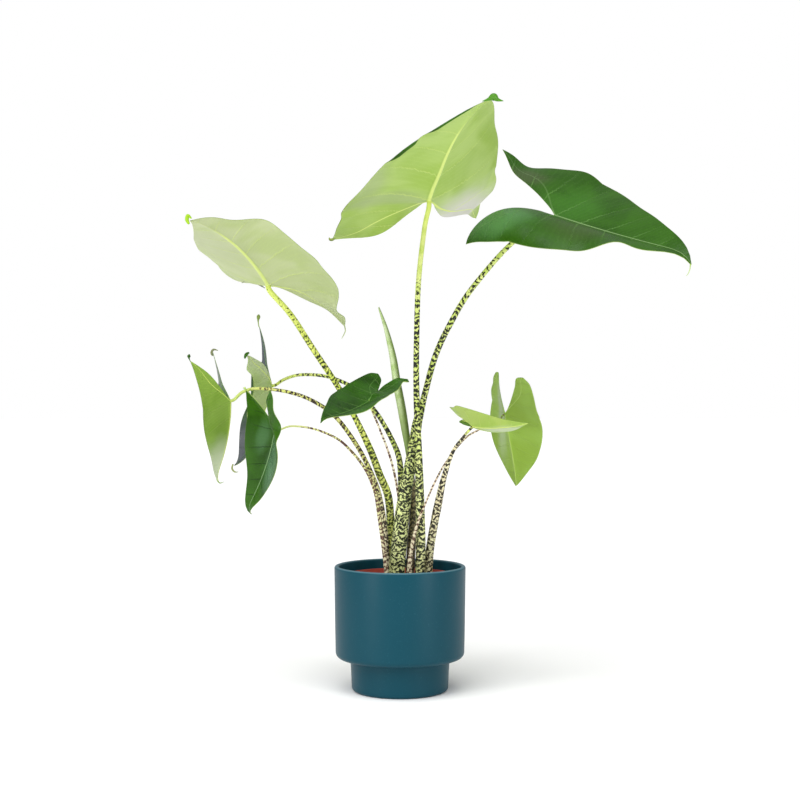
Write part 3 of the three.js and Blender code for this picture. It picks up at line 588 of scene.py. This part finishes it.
def leafMaterial(name, changes):
    look = {**leafLooks, **changes}
    material, tree, shader = newMaterial(name)
    place = attribute(tree, "leafPlace")
    given = {"Vein Place": attribute(tree, "veinPlace"), "Leaf Place": place}
    rib, sideVein, fineVein = newNode(tree, "ShaderNodeGroup", given, node_tree=veinGroup).outputs
    side = attribute(tree, "upperSide", "Fac")
    _, along, edge = axes(tree, place)
    ribColor = calc(tree, "*", rib, ramp(tree, along, *look["ribEnd"], 1, look["ribLeast"]))
    ribColor = calc(tree, "*", ribColor, ramp(tree, along, *look["lobeFrom"], look["lobeRib"], 1))
    cloud = grainNoise(tree, readPlace(tree), look["cloudScale"], 2, look["cloudBend"])
    cloud = ramp(tree, cloud, *look["cloudEdge"])
    cells = newNode(tree, "ShaderNodeTexVoronoi", {"Vector": readPlace(tree), "Scale": look["cellScale"]},
                    feature="DISTANCE_TO_EDGE").outputs["Distance"]
    face = {key: mixColor(tree, cloud, look[key], look[key + "Light"]) for key in ("upper", "under")}
    # patches of painted sheen, highlights and shade laid over the leaf's colour
    for color, centre, reach, strength, key in look["sheenShadePatches"]:
        mask = calc(tree, "*", sheenShadeMask(tree, place, centre, reach, look), strength)
        face[key] = mixColor(tree, mask, face[key], color)
    for key, ribShown, ribTone in (("upper", look["upperRibShow"], "upperRib"), ("under", 1, "rib")):
        show, vein = look[key + "Show"], look[key + "Vein"]
        shown = ramp(tree, edge, *look[key + "Fade"], show, show * look[key + "Least"])
        face[key] = mixColor(tree, calc(tree, "*", fineVein, look[key + "Fine"]), face[key], vein)
        face[key] = mixColor(tree, calc(tree, "*", sideVein, shown), face[key], vein)
        face[key] = mixColor(tree, calc(tree, "*", ribColor, ribShown), face[key], look[ribTone])
    color = mixColor(tree, side, face["under"], face["upper"])
    margin = ramp(tree, side, 0, 1, look["marginUnder"], look["marginUpper"])
    margin = calc(tree, "*", ramp(tree, edge, look["marginFrom"], 1), margin)
    color = mixColor(tree, margin, color, look["margin"])
    rough = ramp(tree, side, 0, 1, look["underRough"], look["upperRough"])
    rough = calc(tree, "*+", cloud, look["roughSpread"], rough)
    relief = calc(tree, "*+", fineVein, look["fineRelief"], calc(tree, "+", rib, sideVein))
    relief = calc(tree, "*", relief, ramp(tree, side, 0, 1, 1, -1))
    relief = calc(tree, "*+", cells, look["cellRelief"], relief)
    coverShader(tree, shader, color, rough, relief, look)
    return material


# stems, young leaf and their material
stemShape = {
    "foot": 150, "straight": 12, "sheathTop": 300, "sheathFade": 100, "rings": 220, "round": 28,
    # how far below and behind a blade its stem turns in, the gap left, and the stem's half width there
    "neck": (4, 9), "smallNeck": (2.6, 5), "gap": 0.6, "neckShare": 80, "neckLeast": 0.6,
    "flattened": {"petiole_2": 0.55},
}

stems = {
    # x, y, z and half width in mm along each stem; it ends under the blade of the same number
    "petiole_1": [(30.3, -6, 180, 7.5), (31.5, -6, 221, 7.4), (30.5, -6, 282, 6.8), (29, -5, 335, 6.1),
        (27, -4, 396, 5), (25, -3, 455, 4.6), (25, -2, 518, 4.3), (28, -1, 618, 4), (37, 0, 701, 3.7)],
    "petiole_2": [(-5, 9, 178, 12.4), (-1, 9, 224, 12.1), (3, 9, 262, 11.5), (9, 9, 305, 10),
        (15, 10, 337, 9.2), (22.5, 12, 380, 8.4), (26.3, 13, 405, 7.6), (32.5, 14, 428, 5.6),
        (38, 16, 450, 4.8), (54, 19, 508, 4.6), (76, 20, 556, 4.5), (110, 22, 612, 4.2), (174, 34, 685, 3.8)],
    "petiole_3": [(-11, 24, 176, 6.1), (-14, 24, 241, 6.1), (-18, 22, 292, 6.1), (-31, 19, 326, 5.8),
        (-46, 15, 366, 5.3), (-70, 8, 417, 4.4), (-96, 2, 464, 4.4), (-132, -8, 519, 4.4),
        (-165, -14, 570, 4.3)],
    "petiole_4": [(-18, 16, 178, 3.8), (-23, 14, 243, 3.8), (-30, 11, 288, 3.8), (-40, 9, 320, 3.8),
        (-63, 8, 367, 3.5), (-97, 8, 414, 3.3), (-133, 5, 440, 2.9), (-172, 0, 454, 2.6),
        (-216, -2, 459, 2.4), (-239, 0, 454, 2.4)],
    "petiole_5": [(2, 38, 175, 5), (2, 38, 240, 5), (2, 37, 302, 5), (-1, 36, 349, 4.6), (-12, 36, 379, 4),
        (-27, 36, 407, 3.6), (-43, 38, 430, 3.4), (-65, 44, 455, 3), (-86, 51, 468, 2.9),
        (-118, 59, 479, 2.6), (-157, 66, 481, 2.4), (-182, 70, 474, 2.4)],
    "petiole_6": [(-21, -4, 180, 3.2), (-25, -4, 216, 3.1), (-32, -4, 267, 3), (-38, -4, 302, 2.7),
        (-53, -6, 337, 2.3), (-76, -10, 366, 2), (-97, -14, 384, 1.8), (-131, -19, 398, 1.6),
        (-163, -23, 402, 1.5)],
    "petiole_7": [(0, 20, 177, 2), (0, 20, 241, 1.9), (-2, 17, 288, 1.8), (-9, 6, 331, 1.8),
        (-18, -10, 364, 1.7), (-31, -32, 399, 1.6), (-40, -49, 422, 1.5)],
    "petiole_8": [(14, -18, 182, 4), (17, -18, 215, 2.9), (26, -17, 253, 2.3), (39, -14, 286, 1.5),
        (53, -9, 317, 1.5), (71, 0, 348, 1.4), (98.5, 16, 381, 1.4), (121, 28, 395, 1.4),
        (151, 44, 407, 1.4)],
    "petiole_9": [(43, 6, 179, 6.5), (46, 5, 215, 6.4), (53, 2, 257, 6.2), (58, 0, 282, 6.1),
        (67, -13, 326, 4.3), (80, -24, 364, 2.7), (96, -33, 387, 2.1)],
}
newLeaf = {
    "stem": [(15.6, 26, 180, 6.8), (18, 26, 222, 6.8), (21, 26, 258, 6.6), (20.5, 25, 297, 5.2),
             (17, 24, 330, 4.4), (14.5, 24, 352.4, 4)],
    "roll": [(14.3, 24, 353, 4.2), (11.3, 23, 374, 4.8), (7.5, 22, 398, 5.7), (2, 21, 431, 6.1),
             (-5, 20, 468, 5.9), (-11.3, 19, 509, 4.9), (-22, 17, 552, 2.9), (-33, 16, 584, 0.8)],
    "overlap": 0.5,
}


def stemStations(path, leaf):  # from the foot in the soil to just under the blade
    s, (x, y, z, half) = stemShape, path[-1]
    at, upper = Vector(leaf["at"]), leafTurn(leaf) @ Vector((0, 0, 1))
    at += leafTurn(leaf) @ Vector((leaf.get("seatShift", 0), 0, 0))
    back = (Vector((x, y, z)) - at).normalized()
    below, behind = s["neck"] if leaf["length"] > leafShape["smallBelow"] else s["smallNeck"]
    near, end = at - upper * below + back * behind, at - upper * s["gap"]
    width = min(half, leaf["length"] / s["neckShare"] + s["neckLeast"])
    return fromSoil(path) + [(*near, (half + width) / 2), (*end, width)]


def fromSoil(path):
    x, y, _, half = path[0]
    return [(x, y, stemShape["foot"], half), (x, y, stemShape["foot"] + stemShape["straight"], half)] + path


def growStem(name, stations, flat, cut=None, overlap=0):
    # a grid wrapped round the stem's line; stemPlace is where each point would be on a straight stem
    rings, sides = stemShape["rings"], stemShape["round"]
    line = [station[:3] for station in stations]
    spots = [Vector(smoothCurve(line, k / rings)) for k in range(rings + 1)]
    lengths = [0]
    for a, b in zip(spots, spots[1:]):
        lengths.append(lengths[-1] + (b - a).length)
    bm = bmesh.new()
    place = bm.verts.layers.float_vector.new("stemPlace")
    share = bm.verts.layers.float.new("stemShare")
    for vert in bmesh.ops.create_grid(bm, x_segments=sides, y_segments=rings, size=1)["verts"]:
        k, angle = round((vert.co.y + 1) / 2 * rings), (vert.co.x + 1) * pi
        spot = spots[k]
        along = (spots[min(k + 1, rings)] - spots[max(k - 1, 0)]).normalized()
        wide = Vector((0, 1, 0)).cross(along).normalized()
        deep = wide.cross(along)
        half = smoothCurve([(station[3],) for station in stations], k / rings)[0]
        roundness = min(max((spot.z - stemShape["sheathTop"]) / stemShape["sheathFade"], 0), 1)
        depth = half * (flat + (1 - flat) * roundness)
        step = overlap * easeStep(0, 1, angle / (2 * pi)) if overlap else 0
        point = spot + wide * (cos(angle) * (half + step)) + deep * (sin(angle) * (depth + step))
        if cut and k == rings:
            at, upper = cut
            point -= along * ((stemShape["gap"] + (point - at).dot(upper)) / along.dot(upper))
        vert.co = point * mm
        vert[place] = (cos(angle) * half * mm, sin(angle) * depth * mm, lengths[k] * mm)
        vert[share] = lengths[k] / lengths[-1]
    bmesh.ops.remove_doubles(bm, verts=bm.verts[:], dist=tiny)
    return closedPiece(bm, name)


markShape = {"turnScale": 45, "squeeze": (1, 1, 0.7), "breakScale": 0.7, "breakLeast": 200, "fleckScale": 6.5}


def makeMarksGroup():
    # zigzag bars across a stem, finer at its foot
    values = ("Stem Share", "Foot Bars", "Top Bars", "Zigzag", "Slant", "Break Up", "Flecks")
    tree, given = newGroup("zebraMarks", ("Stem Place",), values, ("Marks",))
    s, place, share = markShape, given["Stem Place"], given["Stem Share"]
    across, _, along = axes(tree, place)
    fewer = calc(tree, "*", calc(tree, "-", given["Top Bars"], given["Foot Bars"]), share)
    count = calc(tree, "*", along, calc(tree, "*+", fewer, 0.5, given["Foot Bars"]))
    size = calc(tree, "+", given["Foot Bars"], fewer)
    wander = calc(tree, "-", grainNoise(tree, place, size, 2), 0.5)
    number = calc(tree, "*+", wander, given["Zigzag"], count)
    turns = calc(tree, "-", grainNoise(tree, place, s["turnScale"], 1), 0.5)
    slant = calc(tree, "*", calc(tree, "*", across, size), turns)
    number = calc(tree, "*+", slant, given["Slant"], number)
    marks = calc(tree, "*", calc(tree, "zigzag", number, 0.5), 2)
    squeezed = newNode(tree, "ShaderNodeMapping", {0: place, 3: s["squeeze"]}).outputs[0]
    coarse = calc(tree, "*+", size, s["breakScale"], s["breakLeast"])
    fine = calc(tree, "*", size, s["fleckScale"])
    for where, scale, amount in ((squeezed, coarse, "Break Up"), (place, fine, "Flecks")):
        grain = calc(tree, "-", grainNoise(tree, where, scale, 2), 0.5)
        marks = calc(tree, "*+", grain, given[amount], marks)
    newNode(tree, "NodeGroupOutput", {"Marks": marks})
    return tree


stemLooks = {
    "light": (206, 216, 130), "lightTwo": (184, 202, 98), "footLight": (212, 216, 154),
    "dark": (22, 26, 16), "darkTwo": (62, 72, 30), "tintScale": 60, "tintEdge": (0.4, 0.65),
    # bars per metre, break-up, flecks and dark share at the foot and the top, where the marks thin out
    "bars": (155, 105), "zigzag": 2.2, "slant": 5, "breakUp": (2.6, 2), "flecks": (2.2, 1.3),
    "share": (0.64, 0.58), "fade": (0.6, 1.1), "thinned": 0.9, "markEdge": (-0.12, 0.1), "darkEdge": (0, 0.4),
    # shares of the stem's length, and metres across it for the shaded side
    "footShare": (0.1, 0.6), "footTint": (0.1, 0.5), "neck": (206, 220, 112), "neckFrom": (0.85, 1),
    "shade": (104, 126, 62), "shadeFrom": (1, 2),
    "rough": 0.42, "roughSpread": 0.15, "shine": 0.3,
    "fibreScale": 1500, "fibreStretch": (1, 1, 0.05), "markRelief": -0.4, "bump": 0.35, "bumpDepth": 0.0004,
}


def stemMaterial(name, changes):
    look = {**stemLooks, **changes}
    material, tree, shader = newMaterial(name)
    place, height = attribute(tree, "stemPlace"), attribute(tree, "stemShare", "Fac")
    breakUp, flecks = [ramp(tree, height, *look["footShare"], *look[key]) for key in ("breakUp", "flecks")]
    given = (place, height, *look["bars"], look["zigzag"], look["slant"], breakUp, flecks)
    over = newNode(tree, "ShaderNodeGroup", dict(enumerate(given)), node_tree=marksGroup).outputs[0]
    over = calc(tree, "-", over, ramp(tree, height, 0, 1, *[1 - share for share in look["share"]]))
    over = calc(tree, "-", over, ramp(tree, height, *look["fade"], 0, look["thinned"]))
    mask = ramp(tree, over, *look["markEdge"])
    tint = grainNoise(tree, place, look["tintScale"], 2)
    light = mixColor(tree, ramp(tree, tint, *look["tintEdge"]), look["light"], look["lightTwo"])
    light = mixColor(tree, ramp(tree, height, *look["footTint"]), look["footLight"], light)
    light = mixColor(tree, ramp(tree, height, *look["neckFrom"]), light, look["neck"])
    across = axes(tree, place)[0]
    light = mixColor(tree, ramp(tree, across, *look["shadeFrom"]), light, look["shade"])
    dark = mixColor(tree, ramp(tree, over, *look["darkEdge"]), look["darkTwo"], look["dark"])
    color = mixColor(tree, mask, light, dark)
    rough = calc(tree, "*+", tint, look["roughSpread"], look["rough"])
    stretched = newNode(tree, "ShaderNodeMapping", {0: place, 3: look["fibreStretch"]}).outputs[0]
    fibre = grainNoise(tree, stretched, look["fibreScale"], 2)
    coverShader(tree, shader, color, rough, calc(tree, "*+", mask, look["markRelief"], fibre), look)
    return material


# pots and soil
potShape = {
    "height": 189.5, "rim": 100, "body": 98, "step": 50, "footTop": 75.6, "foot": 73.5, "wall": 7, "floor": 8,
    "base": 40, "bodyRounding": 9, "footRounding": 6, "corner": 2.2, "insideRounding": 12, "around": 160,
    # radius added at a height, where the foot and the body swell a little
    "footSwell": (1, 28), "lowSwell": (0.7, 90), "highSwell": (1.4, 140), "insideDraw": (1, 120),
    # how far slanted corners are cut back, and the steps of each rounding
    "underStep": 2.5, "insideCut": 2, "ledgeCut": (4, 2), "floorCut": (5, 6),
    "footSteps": 10, "cornerSteps": 6, "bodySteps": 12, "lipSteps": 14, "insideSteps": 8,
}
nurseryShape = {
    "top": 175.5, "rim": 85, "band": 18, "bodyTop": 77, "bodyBottom": 60, "wall": 2, "gap": 0.3,
    "corner": 2, "lip": 1, "lipDrop": 3, "lipSteps": 8, "draft": 0.3, "around": 128,
    # points at the rim band's lower edge, out from the body or the rim and up from the band
    "bodyEdge": [(0, -1.5), (0.6, -0.6)], "rimEdge": [(-1.6, 0), (-1.2, 0.5)],
    "insideEdge": (-1.4, 2), "insideDrop": 3, "floorCut": (1.5, 4),
}


def arc(centreR, centreZ, radius, start, end, steps):
    turns = [radians(start + (end - start) * n / steps) for n in range(steps + 1)]
    return [(centreR + radius * cos(a), centreZ + radius * sin(a)) for a in turns]


def turnPiece(name, profile, around):
    bm = bmesh.new()
    verts = [bm.verts.new((r * mm, 0, z * mm)) for r, z in profile]
    edges = [bm.edges.new(pair) for pair in zip(verts, verts[1:])]
    bmesh.ops.spin(bm, geom=verts + edges, cent=(0, 0, 0), axis=(0, 0, 1), angle=2 * pi, steps=around,
                   use_merge=True)
    bmesh.ops.remove_doubles(bm, verts=bm.verts[:], dist=10 * tiny)
    bmesh.ops.recalc_face_normals(bm, faces=bm.faces[:])
    return pieceFrom(bm, name)


def turnCoverPot():
    p = potShape
    lip, inner, ledge = p["wall"] / 2, p["rim"] - p["wall"], p["step"] + p["wall"]
    footInner, inside, turned = p["foot"] - p["wall"], p["insideRounding"], p["bodyRounding"]
    profile = [(0, 0), (p["base"], 0)]
    footTurned, corner, ledgeCut, floorCut = p["footRounding"], p["corner"], p["ledgeCut"], p["floorCut"]
    profile += arc(p["foot"] - footTurned, footTurned, footTurned, -90, 0, p["footSteps"])
    profile += [(p["foot"] + p["footSwell"][0], p["footSwell"][1])]
    profile += [(p["footTop"], p["step"] - p["underStep"])]
    profile += arc(p["footTop"] + corner, p["step"] - corner, corner, 180, 90, p["cornerSteps"])
    profile += arc(p["body"] - turned, p["step"] + turned, turned, -90, 0, p["bodySteps"])
    profile += [(p["body"] + more, z) for more, z in (p["lowSwell"], p["highSwell"])]
    profile += arc(p["rim"] - lip, p["height"] - lip, lip, 0, 180, p["lipSteps"])
    profile += [(inner - p["insideDraw"][0], p["insideDraw"][1])]
    profile += arc(inner - inside - p["insideCut"], ledge + inside, inside, 0, -90, p["insideSteps"])
    profile += [(p["footTop"] - ledgeCut[0], ledge), (p["footTop"] - p["wall"], p["step"] + ledgeCut[1])]
    profile += [(footInner, p["floor"] + floorCut[1]), (footInner - floorCut[0], p["floor"]), (0, p["floor"])]
    return turnPiece("coverPot", profile, p["around"])


def turnNurseryPot():
    n = nurseryShape
    foot, band = potShape["floor"] + n["gap"], n["top"] - n["band"]
    rim, wall, corner, lip = n["rim"], n["wall"], n["corner"], n["lip"]
    bottom, insideEdge, floorCut = n["bodyBottom"] - wall, n["insideEdge"], n["floorCut"]
    profile = [(0, foot), (n["bodyBottom"] - corner, foot), (n["bodyBottom"], foot + corner)]
    profile += [(n["bodyTop"] + out, band + up) for out, up in n["bodyEdge"]]
    profile += [(rim + out, band + up) for out, up in n["rimEdge"]]
    profile += [(rim - n["draft"], n["top"] - n["lipDrop"])]
    profile += arc(rim - lip, n["top"] - lip, lip, 0, 180, n["lipSteps"])
    profile += [(rim + insideEdge[0] - wall, band + insideEdge[1])]
    profile += [(n["bodyTop"] - wall, band - n["insideDrop"])]
    profile += [(bottom, foot + floorCut[1]), (bottom - floorCut[0], foot + wall), (0, foot + wall)]
    return turnPiece("nurseryPot", profile, n["around"])


soilShape = {
    "top": 158, "edge": 74.5, "bottom": 57, "floor": 10.6, "cells": 150, "flatFrom": 0.93, "sunk": 1.2,
    "lump": 2.2, "lumpScale": 0.05, "grit": 1.1, "gritScale": 0.22,
}


def heapSoil():
    s = soilShape
    bm = bmesh.new()
    bmesh.ops.create_grid(bm, x_segments=s["cells"], y_segments=s["cells"], size=1)
    for vert in bm.verts:  # square to disc, then lumps
        x, y = vert.co.x, vert.co.y
        flat = Vector((x * sqrt(1 - y * y / 2), y * sqrt(1 - x * x / 2), 0))
        inside = 1 - easeStep(s["flatFrom"], 1, flat.length)
        at = flat * s["edge"]
        lift = s["lump"] * noise.noise(at * s["lumpScale"])
        lift += s["grit"] * noise.turbulence(at * s["gritScale"], 3, True)
        vert.co = Vector((at.x, at.y, s["top"] - s["sunk"] + lift * inside)) * mm
    rim = [edge for edge in bm.edges if edge.is_boundary]
    wall = bmesh.ops.extrude_edge_only(bm, edges=rim)["geom"]
    for vert in [item for item in wall if isinstance(item, bmesh.types.BMVert)]:
        scale = s["bottom"] / s["edge"]
        vert.co = Vector((vert.co.x * scale, vert.co.y * scale, s["floor"] * mm))
    return closedPiece(bm, "pottingSoil")


# a scale is grains per metre, and a detail the number of ever finer layers of noise
glazeLooks = {
    # the lip colour is a painted highlight: a paler band just under the rim
    "color": (6, 66, 80), "second": (2, 60, 74), "lip": (96, 132, 146), "speck": (52, 100, 114),
    "cloudScale": 9, "cloudDetail": 3, "speckScale": 420, "speckEdge": (0.62, 0.72), "speckShow": 0.15,
    "skinScale": 260, "skinDetail": 3, "lipHighlightBelow": (2.5, 0.5), "lipHighlightShow": 0.6,
    "rough": 0.36, "roughSpread": 0.1, "shine": 0.17, "bump": 0.12, "bumpDepth": 0.0006,
}
plasticLooks = {
    "color": (168, 58, 48), "second": (186, 74, 60), "cloudScale": 25, "cloudDetail": 4,
    "skinScale": 900, "skinDetail": 2,
    "rough": 0.45, "roughSpread": 0.15, "shine": 0.5, "bump": 0.2, "bumpDepth": 0.0003,
}
soilLooks = {
    "color": (34, 24, 17), "second": (78, 56, 38), "chip": (150, 128, 100), "chipEdge": (0.9, 0.94),
    "cloudScale": 60, "cloudDetail": 5, "crumbScale": 420, "skinScale": 800, "skinDetail": 3,
    "rough": 0.95, "shine": 0.5, "bump": 0.8, "bumpDepth": 0.002,
}


def potMaterial(name, look):  # the glaze has specks and a painted highlight along its lip as well, and the soil has chips
    material, tree, shader = newMaterial(name)
    place = readPlace(tree)
    cloud = grainNoise(tree, place, look["cloudScale"], look["cloudDetail"])
    relief = grainNoise(tree, place, look["skinScale"], look["skinDetail"])
    color, rough = mixColor(tree, cloud, look["color"], look["second"]), look["rough"]
    if "roughSpread" in look:
        rough = calc(tree, "*+", cloud, look["roughSpread"], rough)
    if "speck" in look:
        speck = ramp(tree, grainNoise(tree, place, look["speckScale"], 2), *look["speckEdge"])
        color = mixColor(tree, calc(tree, "*", speck, look["speckShow"]), color, look["speck"])
        # painted highlight along the lip: paler glaze towards the top of the rim
        lip = [(potShape["height"] - below) * mm for below in look["lipHighlightBelow"]]
        height = axes(tree, place)[2]
        color = mixColor(tree, ramp(tree, height, *lip, 0, look["lipHighlightShow"]), color, look["lip"])
    if "chip" in look:
        crumbs = newNode(tree, "ShaderNodeTexVoronoi", {"Vector": place, "Scale": look["crumbScale"]}).outputs
        chip = newNode(tree, "ShaderNodeSeparateColor", {0: crumbs["Color"]}).outputs[0]
        color = mixColor(tree, ramp(tree, chip, *look["chipEdge"]), color, look["chip"])
        relief = calc(tree, "+", crumbs["Distance"], relief)
    coverShader(tree, shader, color, rough, relief, look)
    return material


makeStudio()
print("studio ready")
finishPiece(turnCoverPot(), "cover_pot", potMaterial("tealGlaze", glazeLooks))
finishPiece(turnNurseryPot(), "nursery_pot", potMaterial("terracottaPlastic", plasticLooks))
finishPiece(heapSoil(), "soil", potMaterial("pottingSoil", soilLooks))
print("pots and soil ready")

marksGroup = makeMarksGroup()
palePink = {
    "light": (208, 212, 140), "lightTwo": (206, 202, 146), "footLight": (212, 206, 172),
    "dark": (44, 36, 28), "darkTwo": (110, 88, 64), "fade": (0.85, 1.15), "thinned": 0.5,
}
stemChanges = {
    "petiole_1": {"fade": (0.7, 0.95), "thinned": 1.5},
    "petiole_2": {"footLight": (212, 220, 152), "fade": (0.6, 1), "thinned": 0.5},
    "petiole_3": {"light": (210, 218, 110), "lightTwo": (188, 204, 84), "footLight": (216, 224, 122),
        "dark": (40, 46, 18), "darkTwo": (96, 108, 36), "bars": (165, 135), "share": (0.55, 0.5),
        "fade": (0.7, 1.1)},
    "petiole_4": {**palePink, "light": (204, 210, 114), "lightTwo": (200, 200, 124), "bars": (140, 130),
        "fade": (0.86, 0.93), "thinned": 1.5, "neck": (186, 204, 108)},
    "petiole_5": {"light": (206, 214, 124), "bars": (150, 120), "fade": (0.7, 1.1), "thinned": 0.5},
    "petiole_6": {**palePink, "bars": (140, 140), "dark": (84, 54, 46), "fade": (0.86, 0.93), "thinned": 1.5,
        "neck": (198, 208, 138)},
    "petiole_7": {**palePink, "light": (220, 214, 186), "lightTwo": (214, 196, 170), "dark": (84, 54, 44),
        "bars": (120, 120), "share": (0.5, 0.45)},
    "petiole_8": {**palePink, "light": (220, 208, 178), "lightTwo": (214, 192, 168), "dark": (84, 58, 46),
        "bars": (140, 140), "share": (0.5, 0.5), "thinned": 0.2, "neck": (126, 158, 58),
        "neckFrom": (0.86, 0.92)},
    "petiole_9": {**palePink, "light": (216, 212, 172), "lightTwo": (214, 204, 164),
        "footLight": (206, 206, 158), "dark": (36, 34, 26), "darkTwo": (96, 84, 62), "bars": (150, 130),
        "share": (0.64, 0.62), "thinned": 0.1},
}
for name, path in stems.items():
    leaf = leaves[name.replace("petiole", "blade")]
    cut = (Vector(leaf["at"]), leafTurn(leaf) @ Vector((0, 0, 1)))
    flat = stemShape["flattened"].get(name, 1)
    piece = growStem(name + "Stem", stemStations(path, leaf), flat, cut)
    finishPiece(piece, name, stemMaterial(name + "Stripes", stemChanges[name]))
print("leaf stems ready")

youngLooks = {
    "light": (190, 205, 160), "lightTwo": (160, 184, 118), "footLight": (126, 148, 84),
    "fade": (-0.2, -0.1), "thinned": 5, "shadeFrom": (-0.002, 0.0045), "neckFrom": (1, 2),
}
dryLooks = {
    "light": (140, 130, 92), "lightTwo": (116, 104, 76), "footLight": (140, 122, 96),
    "dark": (52, 44, 32), "fade": (1.1, 1.2), "neckFrom": (1, 2),
}
piece = growStem("newLeafStem", fromSoil(newLeaf["stem"]), 1)
finishPiece(piece, "new_leaf_stem", stemMaterial("dryStem", dryLooks))
piece = growStem("rolledLeaf", newLeaf["roll"], 1, overlap=newLeaf["overlap"])
finishPiece(piece, "new_leaf", stemMaterial("rolledLeafSkin", youngLooks))
print("new leaf ready")

veinGroup = makeVeinGroup()
# the patches in these changes are painted sheen, highlights and shade, some also the leaf's own tint
leafChanges = {
    "blade_1": {"rib": (206, 222, 128), "ribEnd": (0.15, 0.235),
        "sheenShadePatches": [((160, 172, 132), (110, 60), (36, 90), 0.5, "under"),
        ((158, 174, 126), (60, 2), (80, 24), 0.6, "under"),
        ((200, 198, 194), (-58, -78), (95, 80), 0.9, "under"),
        ((76, 132, 34), (124, 840), (30, 20), 1, "upper"),
        ((132, 146, 76), (-105, 690), (12, 14), 1, "under")]},
    "blade_2": {"upper": (38, 78, 8), "upperLight": (46, 90, 10), "lobeRib": 0.25, "upperShow": 0.5,
        "upperRib": (124, 156, 100), "sheenShadePatches": [((58, 112, 30), (-30, 10), (60, 60), 0.5, "upper"),
        ((78, 84, 60), (-70, -100), (30, 40), 0.5, "upper"), ((62, 78, 40), (40, 70), (45, 60), 0.5, "upper"),
        ((98, 150, 92), (66, -80), (55, 90), 0.7, "upper")]},
    "blade_3": {"under": (168, 182, 124), "underLight": (180, 190, 144), "rib": (200, 214, 128),
        "ribEnd": (0.15, 0.22), "sheenShadePatches": [((172, 178, 146), (40, 130), (60, 110), 0.6, "under"),
        ((104, 108, 88), (-225, 620), (30, 30), 1, "under"),
        ((150, 190, 40), (-282, 683), (20, 20), 1, "upper")]},
    "blade_4": {"under": (122, 158, 54), "underLight": (136, 170, 70), "underShow": 0.15,
        "margin": (110, 128, 60), "sheenShadePatches": [((204, 212, 188), (0, 118), (60, 60), 0.75, "under"),
        ((108, 110, 112), (30, -70), (60, 55), 0.8, "upper"),
        ((112, 116, 84), (-288, 519), (22, 18), 1, "under"),
        ((150, 162, 140), (-262, 318), (26, 22), 1, "under")]},
    "blade_5": {"under": (152, 176, 104), "underLight": (168, 188, 128), "underShow": 0.3,
        "sheenShadePatches": [((178, 190, 156), (-20, -60), (50, 50), 0.7, "under"),
        ((88, 90, 102), (40, -50), (50, 55), 0.85, "upper"),
        ((92, 92, 104), (0, 110), (60, 60), 0.8, "upper"),
        ((120, 140, 70), (-225, 572), (14, 14), 1, "under"),
        ((140, 148, 96), (-266, 333), (16, 16), 1, "under")]},
    # this leaf's dark vein colour is painted shade in the grooves along its side veins
    "blade_6": {"lobeRib": 0.4, "upperShow": 0.85, "upperFade": (0.4, 0.95), "upperVein": (16, 44, 12),
        "upperRib": (132, 164, 116), "sheenShadePatches": [((104, 142, 112), (-25, 40), (30, 60), 0.5, "upper"),
        ((96, 136, 100), (22, 20), (16, 34), 0.3, "upper")]},
    "blade_7": {"upper": (24, 58, 8), "upperLight": (44, 90, 12), "upperShow": 0.6, "lobeRib": 0.5,
        "upperVein": (120, 160, 84)},
    "blade_8": {"under": (136, 168, 62), "underLight": (146, 180, 76), "underVein": (150, 182, 84),
        "rib": (166, 194, 96), "underShow": 0.25,
        "sheenShadePatches": [((176, 190, 160), (-22, 0), (16, 110), 0.6, "under")]},
    "blade_9": {"under": (150, 182, 76), "underLight": (166, 190, 92), "underShow": 0.35,
        "sheenShadePatches": [((196, 206, 180), (-15, 60), (20, 60), 0.7, "under"),
        ((84, 122, 42), (100, 406), (24, 24), 1, "under")]},
}
for name, leaf in leaves.items():
    finishPiece(growLeaf(name, leaf), name, leafMaterial(name + "Skin", leafChanges[name]))
print("leaves ready")
